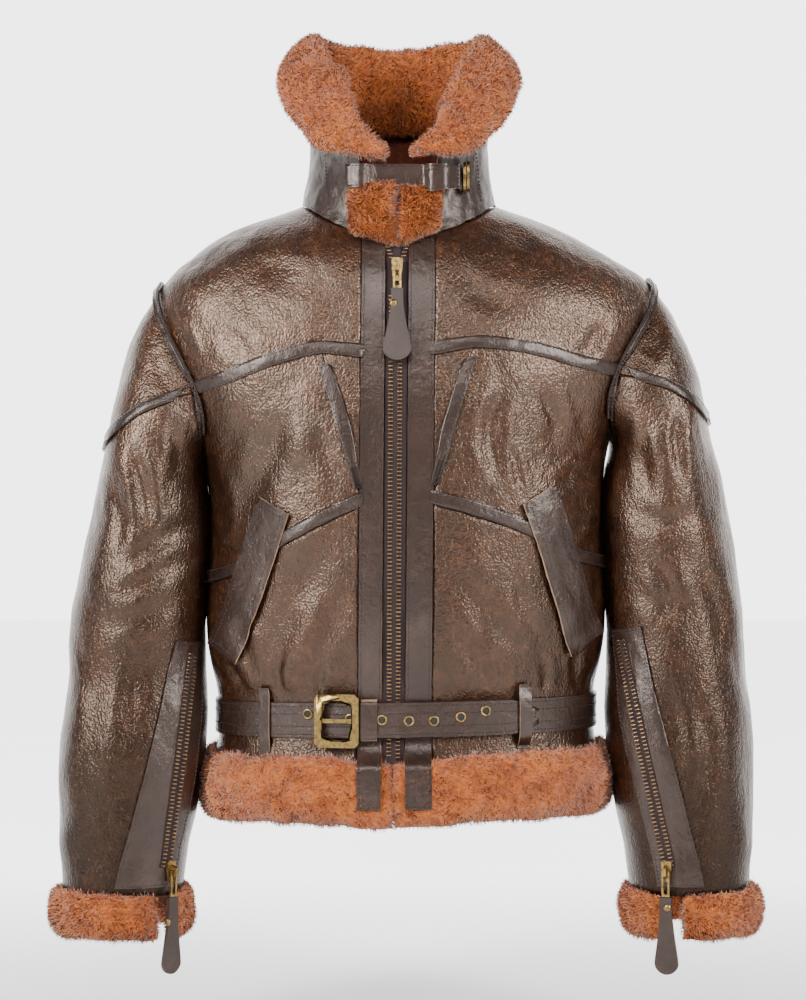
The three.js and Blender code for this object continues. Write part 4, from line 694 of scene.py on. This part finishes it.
def trim(node, look="trim", sleeve=None, crown=0.0, ripple=0.0, edge="edge", inner=None):
    """A sewn strip that lies on the hide and follows its relief, a little fuller along its middle."""
    mesh = refined(welded(node), 2)
    points = coords(mesh)
    if node.startswith("gore_tape_"):
        tip = 1 - ease(0.002, 0.014, points[:, 2] - points[:, 2].min())
        points += np.outer(tip, (-SIDES[node[10:]] * 0.0045, 0, -0.013))
    if "_tape_" in node:
        points = widened(points, *TAPE_SPREAD.get(node.split("_")[0], (0.42, 1.0)))
    if node in ("collar_strap", "collar_tongue"):
        points += (0, -0.0012, -0.007)
    if node == "collar_tongue":
        run = (points[:, 0] - points[:, 0].min()) / 0.015
        middle = points[:, 2].mean() - 0.003
        narrow = 0.12 + 0.88 * ease(0, 1, run)
        points[:, 2] = middle + (points[:, 2] - middle) * narrow * 1.12
    points = moved(points, sleeve)
    way = normals(mesh)
    pick = paint_sides(mesh, sleeve, look, inner or look, edge)
    if crown:
        side, outer = set(), set()
        for face, kind in zip(mesh.polygons, pick):
            (outer if kind == 0 else side).update(face.vertices)
        tree = tree_of([points[k] for k in outer & side])
        for k in outer - side:
            gap = min(tree.find(points[k])[2] / 0.005, 1)
            points[k] += way[k] * crown * (1 - (1 - gap) ** 2.2)
    if ripple:
        points += way * (lattice(points, 150, 6) * ripple)[:, None]
    put_coords(mesh, points)
    smooth(mesh, 40)
    return thing("sewn_" + node, mesh, [node])


def hides():
    for side in SIDES:
        for part, look in (("upper", "yoke"), ("gore", "chest"), ("side", "chest"), ("lower", "lower")):
            cloth(f"front_{part}_{side}", look)
        cloth("sleeve_cap_" + side, "sleeve", side)
        cloth("sleeve_lower_" + side, "sleeve", side)
    cloth("back_yoke", "yoke")
    cloth("back_body", "chest")
    cloth("back_lower", "lower")


# Strips that both sides have: their look, ripple and crown in metres, and their cut edge.
PAIRED = {
    "yoke_tape_": ("trim", 0.0005, 0.0006, "trim"), "gore_tape_": ("trim", 0.0005, 0.0006, "trim"),
    "waist_tape_": ("trim", 0.0005, 0.0006, "trim"), "armhole_tape_": ("trim", 0.0005, 0.0004, "trim"),
    "sleeve_tape_": ("trim", 0.0005, 0.0006, "trim"), "zip_facing_": ("facing", 0.0005, 0.0, "trim"),
    "pocket_welt_": ("facing", 0.0005, 0.0, "edge"), "cuff_facing_": ("facing", 0.0003, 0.0, "trim"),
    "belt_loop_": ("facing", 0.0002, 0.0, "edge"),
}


def strips():
    for side in SIDES:
        for part, (look, ripple, crown, edge) in PAIRED.items():
            sleeve = side if part in ("sleeve_tape_", "cuff_facing_") else None
            trim(part + side, look, sleeve, ripple=ripple, crown=crown, edge=edge)
    for name in ("yoke_tape_back", "waist_tape_back"):
        trim(name, ripple=0.0005, crown=0.0006, edge="trim")
    trim("belt_loop_back", "facing", edge="trim")
    trim("belt", "facing", ripple=0.0003, edge="trim")
    trim("belt_keeper", "facing")
    trim("collar", "stand", ripple=0.0012, inner="lining")
    trim("collar_strap", "facing", ripple=0.0003)
    trim("collar_tongue", "facing")
    trim("zip_tape", "cloth", edge="cloth")


# Wool.

def picked(mesh, count, rng, keep=None):
    """Random spots, their normals, spread evenly over the mesh."""
    mesh.calc_loop_triangles()
    corners = np.empty(len(mesh.loop_triangles) * 3, dtype=int)
    mesh.loop_triangles.foreach_get("vertices", corners)
    corners = corners.reshape(-1, 3)
    points, ways = coords(mesh), normals(mesh)
    a, b, c = (points[corners[:, k]] for k in range(3))
    area = np.linalg.norm(np.cross(b - a, c - a), axis=1)
    if keep is not None:
        area = area * keep((a + b + c) / 3)
    chosen = rng.choice(len(corners), size=count, p=area / area.sum())
    u, v = rng.random(count), rng.random(count)
    flip = u + v > 1
    u[flip], v[flip] = 1 - u[flip], 1 - v[flip]
    w = 1 - u - v
    blend = lambda rows: (rows[corners[chosen, 0]] * w[:, None] + rows[corners[chosen, 1]] * u[:, None]
                          + rows[corners[chosen, 2]] * v[:, None])
    way = blend(ways)
    return blend(points), way / np.maximum(np.linalg.norm(way, axis=1), 1e-9)[:, None]


def unit(rows):
    return rows / np.maximum(np.linalg.norm(rows, axis=1), 1e-9)[:, None]


def field(points, scale, shift):
    return np.column_stack([lattice(points, scale, shift + 5 * k) for k in range(3)])


WOOL_WIDTH = 0.00068
WOOL_LEAN = np.array((0, 0, -0.2))
WOOL_LOOSE = 0.24


def strands(name, source, count, length, seed, keep=None, tone=None):
    """Short curved blades of wool that gather in tufts over the source mesh."""
    rng = np.random.default_rng(seed)
    root, way = picked(source, count, rng, keep)
    tuft = field(root, 70, seed) * 0.5 + field(root, 190, seed + 3) * 0.5
    tuft -= way * np.einsum("ij,ij->i", tuft, way)[:, None]
    jitter = rng.normal(size=(count, 3)) * WOOL_LOOSE
    first = unit(way + tuft * 0.8 + jitter * 0.6 + WOOL_LEAN * 0.5)
    second = unit(way * 0.8 + tuft * 1.1 + jitter + WOOL_LEAN)
    long = length * (0.62 + 0.5 * rng.random(count)) * (1 + 0.25 * lattice(root, 90, seed + 8))
    across = unit(np.cross(first, rng.normal(size=(count, 3))))
    across = across * (WOOL_WIDTH * (0.7 + 0.6 * rng.random(count)) / 2)[:, None]
    base = root - way * 0.0012
    middle = base + first * (long * 0.55)[:, None]
    tip = middle + second * (long * 0.5)[:, None]
    narrower = across * 0.85
    points = np.stack([base - across, base + across, middle - narrower, middle + narrower, tip], axis=1)
    start = np.arange(count) * 5
    quads = np.column_stack([start, start + 1, start + 3, start + 2])
    tips = np.column_stack([start + 2, start + 3, start + 4])
    mesh = bpy.data.meshes.new(name)
    mesh.from_pydata(points.reshape(-1, 3).tolist(), [], quads.tolist() + tips.tolist())
    shade = (tone(root) if tone else 0.0) + rng.normal(size=count) * 0.085
    shade = shade + lattice(root, 55, seed + 1) * 0.16 + lattice(root, 16, seed + 2) * 0.08
    # Painted shade: each strand is darker at its root, deep in the pile, than at its tip.
    tones = shade[:, None] + np.array([-0.30, -0.30, 0.02, 0.02, 0.16])[None, :] + 0.6
    layer = mesh.attributes.new("tone", "FLOAT", "POINT")
    layer.data.foreach_set("value", np.clip(tones, 0, 1).ravel())
    mesh.materials.append(MATERIALS["strands"])
    for face in mesh.polygons:
        face.use_smooth = True
    soft = unit(way + tuft * 0.6 + jitter * 0.35)
    mesh.normals_split_custom_set_from_vertices(np.repeat(soft, 5, axis=0).tolist())
    return thing(name, mesh)


def fleece(node, lumps=0.0022, sink=0.0):
    """The pile's own body under the strands, lumpy where tufts part."""
    mesh = refined(welded(node, 80), 2)
    points, way = coords(mesh), normals(mesh)
    rise = lattice(points, 48, 2) * lumps + lattice(points, 110, 5) * lumps * 0.5 - sink
    put_coords(mesh, points + way * rise[:, None])
    mesh.materials.append(MATERIALS["wool"])
    smooth(mesh)
    return thing("pile_" + node, mesh, [node])


def chin_parting_shade(points):
    """Painted shade: darker wool along the parting between the two chin pieces."""
    beside = np.exp(-((points[:, 0] + 0.0078) / 0.0036) ** 2)
    return -0.75 * beside * np.exp(-((points[:, 2] + 0.006) / 0.015) ** 2)


def wool():
    collar = fleece("collar_fur")
    stand = Skin([bpy.data.objects["sewn_collar"]])

    def clear(points):
        return np.array([(stand.close(Vector(p))[0] - Vector(p)).length > 0.0035 for p in points])

    strands("wool_collar", collar.data, 51000, 0.0054, 3, keep=clear)
    hem = fleece("hem_fur", sink=-0.0035)
    strands("wool_hem", hem.data, 49000, 0.0056, 5)
    for k, side in enumerate(SIDES):
        chin = fleece("chin_fur_" + side)
        strands("wool_chin_" + side, chin.data, 11000, 0.0056, 11 + k, tone=chin_parting_shade)
        cuff = fleece("cuff_fur_" + side)
        strands("wool_cuff_" + side, cuff.data, 22000, 0.0056, 21 + k)

# Stitches, zips and eyelets.

class Skin:
    """The outer surface of some pieces, to place small things on."""

    def __init__(self, objects):
        points, faces = [], []
        for obj in objects:
            start = len(points)
            points += [v.co.copy() for v in obj.data.vertices]
            faces += [[start + k for k in f.vertices] for f in obj.data.polygons]
        self.tree = BVHTree.FromPolygons(points, faces)

    def seen(self, px, py):
        """The place and normal that the photo's pixel falls on."""
        x, z = photo(px, py)
        aim = Vector((x, 0, z)) - EYE
        place, normal, _, _ = self.tree.ray_cast(EYE, aim.normalized())
        return (place, normal) if place else (None, None)

    def close(self, point):
        place, normal, _, _ = self.tree.find_nearest(point)
        return place, normal


def rims(obj):
    """Outlines of the piece's outer face: points, and directions in over the face."""
    mesh = obj.data
    owners = {}
    for face in mesh.polygons:
        for key in face.edge_keys:
            owners.setdefault(key, []).append(face)
    links, inward = {}, {}
    for (a, b), faces in owners.items():
        outer = [f for f in faces if f.material_index == 0]
        if len(faces) == 2 and len(outer) == 1:
            middle = (mesh.vertices[a].co + mesh.vertices[b].co) / 2
            way = outer[0].center - middle
            along = (mesh.vertices[b].co - mesh.vertices[a].co).normalized()
            way = (way - along * way.dot(along)).normalized()
            for one, other in ((a, b), (b, a)):
                links.setdefault(one, []).append(other)
                inward[one] = inward.get(one, Vector()) + way
    loops, seen = [], set()
    for start in sorted(links):
        if start in seen or len(links[start]) != 2:
            continue
        loop, last, here = [start], None, start
        seen.add(start)
        while True:
            ahead = [n for n in links[here] if n != last and n not in seen]
            if not ahead:
                break
            last, here = here, ahead[0]
            seen.add(here)
            loop.append(here)
        if len(loop) > 8:
            line = [mesh.vertices[k].co.copy() for k in loop]
            loops.append((line, [inward[k].normalized() for k in loop]))
    return loops


def resampled(line, pitch, closed=True):
    points = np.array([p[:] for p in line])
    if closed:
        points = np.vstack([points, points[:1]])
    gaps = np.linalg.norm(np.diff(points, axis=0), axis=1)
    done = np.concatenate([[0], np.cumsum(gaps)])
    count = max(int(done[-1] / pitch), 2)
    at = np.linspace(0, done[-1], count + 1)[: count if closed else count + 1]
    return np.column_stack([np.interp(at, done, points[:, k]) for k in range(3)])


class Seeds:
    """Many small copies of one closed shape in one mesh."""

    def __init__(self, name, look, slot, body="root"):
        self.name, self.look, self.slot, self.body = name, look, slot, body
        self.points, self.faces = [], []

    def add(self, shape, faces, place, along, up):
        side = along.cross(up).normalized()
        up = side.cross(along).normalized()
        start = len(self.points)
        for x, y, z in shape:
            self.points.append(place + along * x + side * y + up * z)
        self.faces += [[start + k for k in face] for face in faces]

    def done(self, angle=60):
        mesh = bpy.data.meshes.new(self.name)
        mesh.from_pydata([p[:] for p in self.points], [], self.faces)
        mesh.materials.append(MATERIALS[self.look])
        smooth(mesh, angle)
        return thing(self.name, mesh, (), self.body)


def grain_shape(long, thick):
    """A rounded stitch: two square rings between two tips."""
    shape = [(-long / 2, 0, 0)]
    for x in (-long * 0.28, long * 0.28):
        shape += [(x, thick / 2, 0), (x, 0, thick * 0.62), (x, -thick / 2, 0), (x, 0, -thick * 0.5)]
    shape.append((long / 2, 0, 0))
    faces = []
    for k in range(4):
        n = (k + 1) % 4
        faces += [[0, 1 + n, 1 + k], [1 + k, 1 + n, 5 + n, 5 + k], [9, 5 + k, 5 + n]]
    return shape, faces


STITCH = grain_shape(0.0028, 0.0009)


STITCH_PITCH = 0.0038
STITCH_RISE = 0.00012


def sew_line(seeds, line, skin, closed=False):
    """A row of stitches along a line on the skin."""
    spots = resampled(line, STITCH_PITCH, closed)
    for k, spot in enumerate(spots):
        place, normal = skin.close(Vector(spot))
        if place is None or (place - Vector(spot)).length > 0.006:
            continue
        last = not closed and k + 1 == len(spots)
        ahead = Vector(spot * 2 - spots[k - 1] if last else spots[(k + 1) % len(spots)])
        along = ahead - Vector(spot)
        along = along - normal * along.dot(normal)
        if along.length < 1e-5:
            continue
        seeds.add(*STITCH, place + normal * STITCH_RISE, along.normalized(), normal)


def sew_rim(seeds, obj, insets):
    """Rows of stitches at these distances in from a piece's outline."""
    skin = Skin([obj])
    for line, inward in rims(obj):
        for inset in insets:
            sew_line(seeds, [p + w * inset for p, w in zip(line, inward)], skin, closed=True)


def sewing():
    seeds = Seeds("stitches", "thread", "smooth_leather")
    for side in SIDES:
        for part in ("yoke_tape_", "gore_tape_", "waist_tape_", "sleeve_tape_", "armhole_tape_"):
            sew_rim(seeds, bpy.data.objects["sewn_" + part + side], [0.0017])
        sew_rim(seeds, bpy.data.objects["sewn_zip_facing_" + side], [0.0024])
        sew_rim(seeds, bpy.data.objects["sewn_cuff_facing_" + side], [0.0022])
        sew_rim(seeds, bpy.data.objects["sewn_pocket_welt_" + side], [0.0065])
    for name in ("yoke_tape_back", "waist_tape_back", "collar_strap", "collar_tongue"):
        sew_rim(seeds, bpy.data.objects["sewn_" + name], [0.0018])
    sew_rim(seeds, bpy.data.objects["sewn_belt"], [0.003, 0.0105])
    stand = Skin([bpy.data.objects["sewn_collar"]])
    for stops in (((325, 152), (328, 204)), ((347, 150), (350, 178)), ((476, 150), (481, 200)),
                  ((312, 208), (350, 226)), ((440, 232), (492, 212))):
        sew_line(seeds, seen_line(stand, stops), stand)
    seeds.done()


def tooth_shape(reach, tall, deep):
    """One tooth: a rounded head and a narrower root that clasps the cloth."""
    half = tall / 2
    profile = [(-0.0006, half * 0.8), (reach * 0.55, half * 0.8), (reach * 0.8, half), (reach, half * 0.75)]
    profile += [(x, -z) for x, z in reversed(profile)]
    shape = [(z, x, 0) for x, z in profile] + [(z * 0.85, x * 0.96, deep) for x, z in profile]
    count = len(profile)
    faces = [list(range(count))[::-1], list(range(count, 2 * count))]
    for k in range(count):
        n = (k + 1) % count
        faces.append([k, n, count + n, count + k])
    return shape, faces


def chain(name, line, skin, step, reach, tall, deep, rise, part=0.0):
    """Zip teeth in turn from either side along the line; part opens them as a V."""
    seeds = Seeds(name, "teeth", "antique_brass")
    right = tooth_shape(reach, tall, deep)
    left = ([(x, -y, z) for x, y, z in right[0]], [face[::-1] for face in right[1]])
    spots = resampled(line, step, False)
    for k in range(len(spots) - 1):
        place, normal = skin.close(Vector(spots[k]))
        along = Vector(spots[k + 1]) - Vector(spots[k])
        along = (along - normal * along.dot(normal)).normalized()
        side = along.cross(normal).normalized()
        sway = (1 if k % 2 else -1)
        away = sway * (-reach * 0.72 - part * (1 - k / len(spots)))
        shape = left if sway > 0 else right
        seeds.add(*shape, place + side * away + normal * rise, along, normal)
    return seeds.done(40)


def ribbon(name, line, skin, half, look, rise=0.0003, thick=0.0007, pitch=0.006):
    """A flat strip of cloth laid along a line on the surface."""
    spots = resampled(line, pitch, False)
    points, faces = [], []
    for k, spot in enumerate(spots):
        place, normal = skin.close(Vector(spot))
        ahead = Vector(spots[min(k + 1, len(spots) - 1)]) - Vector(spots[max(k - 1, 0)])
        side = ahead.cross(normal).normalized()
        for across in (-half, 0, half):
            near, up = skin.close(place + side * across)
            points += [near + up * rise, near + up * (rise + thick)]
    for k in range(len(spots) - 1):
        a, b = k * 6, k * 6 + 6
        for j in (0, 2):
            faces += [[a + j + 1, a + j + 3, b + j + 3, b + j + 1], [a + j, b + j, b + j + 2, a + j + 2]]
        faces += [[a, a + 1, b + 1, b], [a + 4, b + 4, b + 5, a + 5]]
    last = (len(spots) - 1) * 6
    faces += [[0, 2, 3, 1], [2, 4, 5, 3]]
    faces += [[last, last + 1, last + 3, last + 2], [last + 2, last + 3, last + 5, last + 4]]
    mesh = bpy.data.meshes.new(name)
    mesh.from_pydata([p[:] for p in points], [], faces)
    mesh.materials.append(MATERIALS[look])
    work = bmesh.new()
    work.from_mesh(mesh)
    bmesh.ops.recalc_face_normals(work, faces=work.faces)
    work.to_mesh(mesh)
    work.free()
    smooth(mesh, 40)
    return thing(name, mesh, (), "root")


def ring_shape(hole, outer, tall, steps=28):
    """A turned ring with a rolled crown, such as an eyelet."""
    profile = [(hole, -tall), (hole, tall * 0.55), (hole * 1.12, tall), ((hole + outer) / 2, tall * 1.12),
               (outer * 0.95, tall * 0.7), (outer, 0), (outer, -tall)]
    count = len(profile)
    shape, faces = [], []
    for k in range(steps):
        turn = 2 * math.pi * k / steps
        shape += [(math.cos(turn) * r, math.sin(turn) * r, z) for r, z in profile]
        n = (k + 1) % steps
        for j in range(count):
            m = (j + 1) % count
            faces.append([k * count + j, n * count + j, n * count + m, k * count + m])
    return shape, faces


def dome_shape(radius, tall, steps=20):
    shape, faces = [(0, 0, tall)], []
    rows = [(0.45, 0.93), (0.8, 0.62), (1.0, 0.12), (0.98, -0.5)]
    for k in range(steps):
        turn = 2 * math.pi * k / steps
        shape += [(math.cos(turn) * radius * r, math.sin(turn) * radius * r, tall * z) for r, z in rows]
        n = (k + 1) % steps
        a, b = 1 + k * len(rows), 1 + n * len(rows)
        faces.append([0, a, b])
        faces += [[a + j, a + j + 1, b + j + 1, b + j] for j in range(len(rows) - 1)]
    faces.append([1 + k * len(rows) + len(rows) - 1 for k in reversed(range(steps))])
    return shape, faces


EYELETS = [(308, 714), (350, 719), (382, 720), (409, 721), (434, 721), (461, 717), (486, 711)]


def seen_line(skin, stops):
    """Points on the skin under a line drawn over the photo."""
    line = []
    path = resampled([Vector((x, y, 0)) for x, y in stops], 6, False)
    for x, y, _ in path:
        place, _ = skin.seen(x, y)
        if place:
            line.append(place)
    return line


# The middle of each sleeve's zip, in the photo's pixels.
CUFF_ZIPS = {
    "right": [(192, 655), (180, 760), (165, 868)],
    "left": [(621, 640), (641, 740), (669, 868)],
}


def zips():
    """Teeth down the front, open above the slider, and the cloth and teeth of the sleeve zips."""
    tape = Skin([bpy.data.objects["sewn_zip_tape"]])
    front = [Vector((x / 1000, -0.2, z / 1000)) for x, z in ((-10.0, -98), (-11.0, -300), (-12.4, -541))]
    line = []
    for x, _, z in resampled(front, 0.004, False):
        place = tape.tree.ray_cast(Vector((x, -0.3, z)), Vector((0, 1, 0)))[0]
        if place:
            line.append(place)
    chain("zip_teeth", line, tape, 0.0019, 0.0038, 0.0013, 0.0016, 0.0002)
    opened = []
    for z in np.linspace(-0.030, -0.062, 9):
        place = tape.tree.ray_cast(Vector((-0.0088, -0.3, z)), Vector((0, 1, 0)))[0]
        if place:
            opened.append(place)
    chain("zip_teeth_open", opened, tape, 0.0019, 0.0038, 0.0013, 0.0016, 0.0002, 0.006)
    for side, stops in CUFF_ZIPS.items():
        skin = Skin([bpy.data.objects["sewn_cuff_facing_" + side]])
        line = seen_line(skin, stops)
        ribbon("cuff_zip_cloth_" + side, line, skin, 0.0062, "cloth")
        chain("cuff_zip_teeth_" + side, line, skin, 0.0019, 0.0034, 0.0013, 0.0015, 0.0011)


def eyelets():
    belt = Skin([bpy.data.objects["sewn_belt"]])
    seeds = Seeds("belt_eyelets", "brass", "antique_brass")
    # Painted shade: a dark disc fills each eyelet where its hole would be in shade.
    hole_shade = Seeds("belt_holes", "dark", "smooth_leather")
    for spot in EYELETS:
        place, normal = belt.seen(*spot)
        if place is None:
            continue
        seeds.add(*ring_shape(0.0032, 0.0054, 0.0011), place + normal * 0.0002, Vector((0, 0, 1)), normal)
        hole_shade.add(*dome_shape(0.0034, 0.0002), place + normal * 0.0002, Vector((0, 0, 1)), normal)
    seeds.done(50)
    hole_shade.done(50)


def doubled(mesh):
    """The neck ring as a pair of rings side by side, which hang with the strap."""
    work = bmesh.new()
    work.from_mesh(mesh)
    middle = sum((v.co for v in work.verts), Vector()) / len(work.verts)
    for v in work.verts:
        v.co = middle + Vector(((v.co.x - middle.x) * 0.8 - 0.002, (v.co.y - middle.y) * 1.1 - 0.0012,
                                (v.co.z - middle.z) * 1.12 - 0.004))
    copy = bmesh.ops.duplicate(work, geom=work.verts[:] + work.edges[:] + work.faces[:])["geom"]
    for v in (g for g in copy if isinstance(g, bmesh.types.BMVert)):
        v.co += Vector((0.0034, 0.0006, 0.001))
    work.to_mesh(mesh)
    work.free()


# Each tab's rivet, in the photo's pixels, and its radius and height.
RIVETS = {
    "zip_pull_tab": (393.5, 303),
    "cuff_zip_right_pull_tab": (167, 922),
    "cuff_zip_left_pull_tab": (667, 908),
}
RIVET = (0.0038, 0.0018)


def rivets(body_of):
    for tab, spot in RIVETS.items():
        obj = bpy.data.objects["fit_" + tab]
        place, normal = Skin([obj]).seen(*spot)
        if place is None:
            points = coords(obj.data)
            high = points[points[:, 2] > points[:, 2].max() - 0.022]
            before = Vector((high[:, 0].mean(), high[:, 1].min() - 0.01, high[:, 2].min()))
            place, normal = Skin([obj]).close(before)
        seeds = Seeds("rivet_" + tab, "brass", "antique_brass", body_of[tab])
        seeds.add(*dome_shape(*RIVET), place - normal * 0.0002, Vector((0, 0, 1)), normal)
        seeds.done(50)


def fittings():
    """Metal parts and tabs: smoothed copies of the part's own solids."""
    body_of = {"zip_pull_link": "main_zip_pull", "zip_pull_tab": "main_zip_pull"}
    names = ["zip_slider", "zip_pull_link", "zip_pull_tab", "buckle_frame", "buckle_prong", "collar_ring"]
    for side in SIDES:
        for part in ("slider", "pull_link", "pull_tab"):
            names.append(f"cuff_zip_{side}_{part}")
            if part != "slider":
                body_of[names[-1]] = side + "_cuff_pull"
    for name in names:
        tab = name.endswith("tab")
        mesh = refined(welded(name, 30), 2 if tab else 1)
        if name == "collar_ring":
            doubled(mesh)
        mesh.materials.append(MATERIALS["tab" if tab else "brass"])
        smooth(mesh, 30)
        thing("fit_" + name, mesh, [name], body_of.get(name, "root"))
    rivets(body_of)


def build():
    camera()
    studio()
    materials()
    find_axes()
    for side in SIDES:
        HOLD[side] = tree_of(coords(NODES["armhole_tape_" + side].data))
    HOLD["trunk"] = tree_of(np.vstack([coords(NODES["armhole_tape_" + side].data) for side in SIDES]))
    hides()
    strips()
    wool()
    fittings()
    sewing()
    zips()
    eyelets()


build()
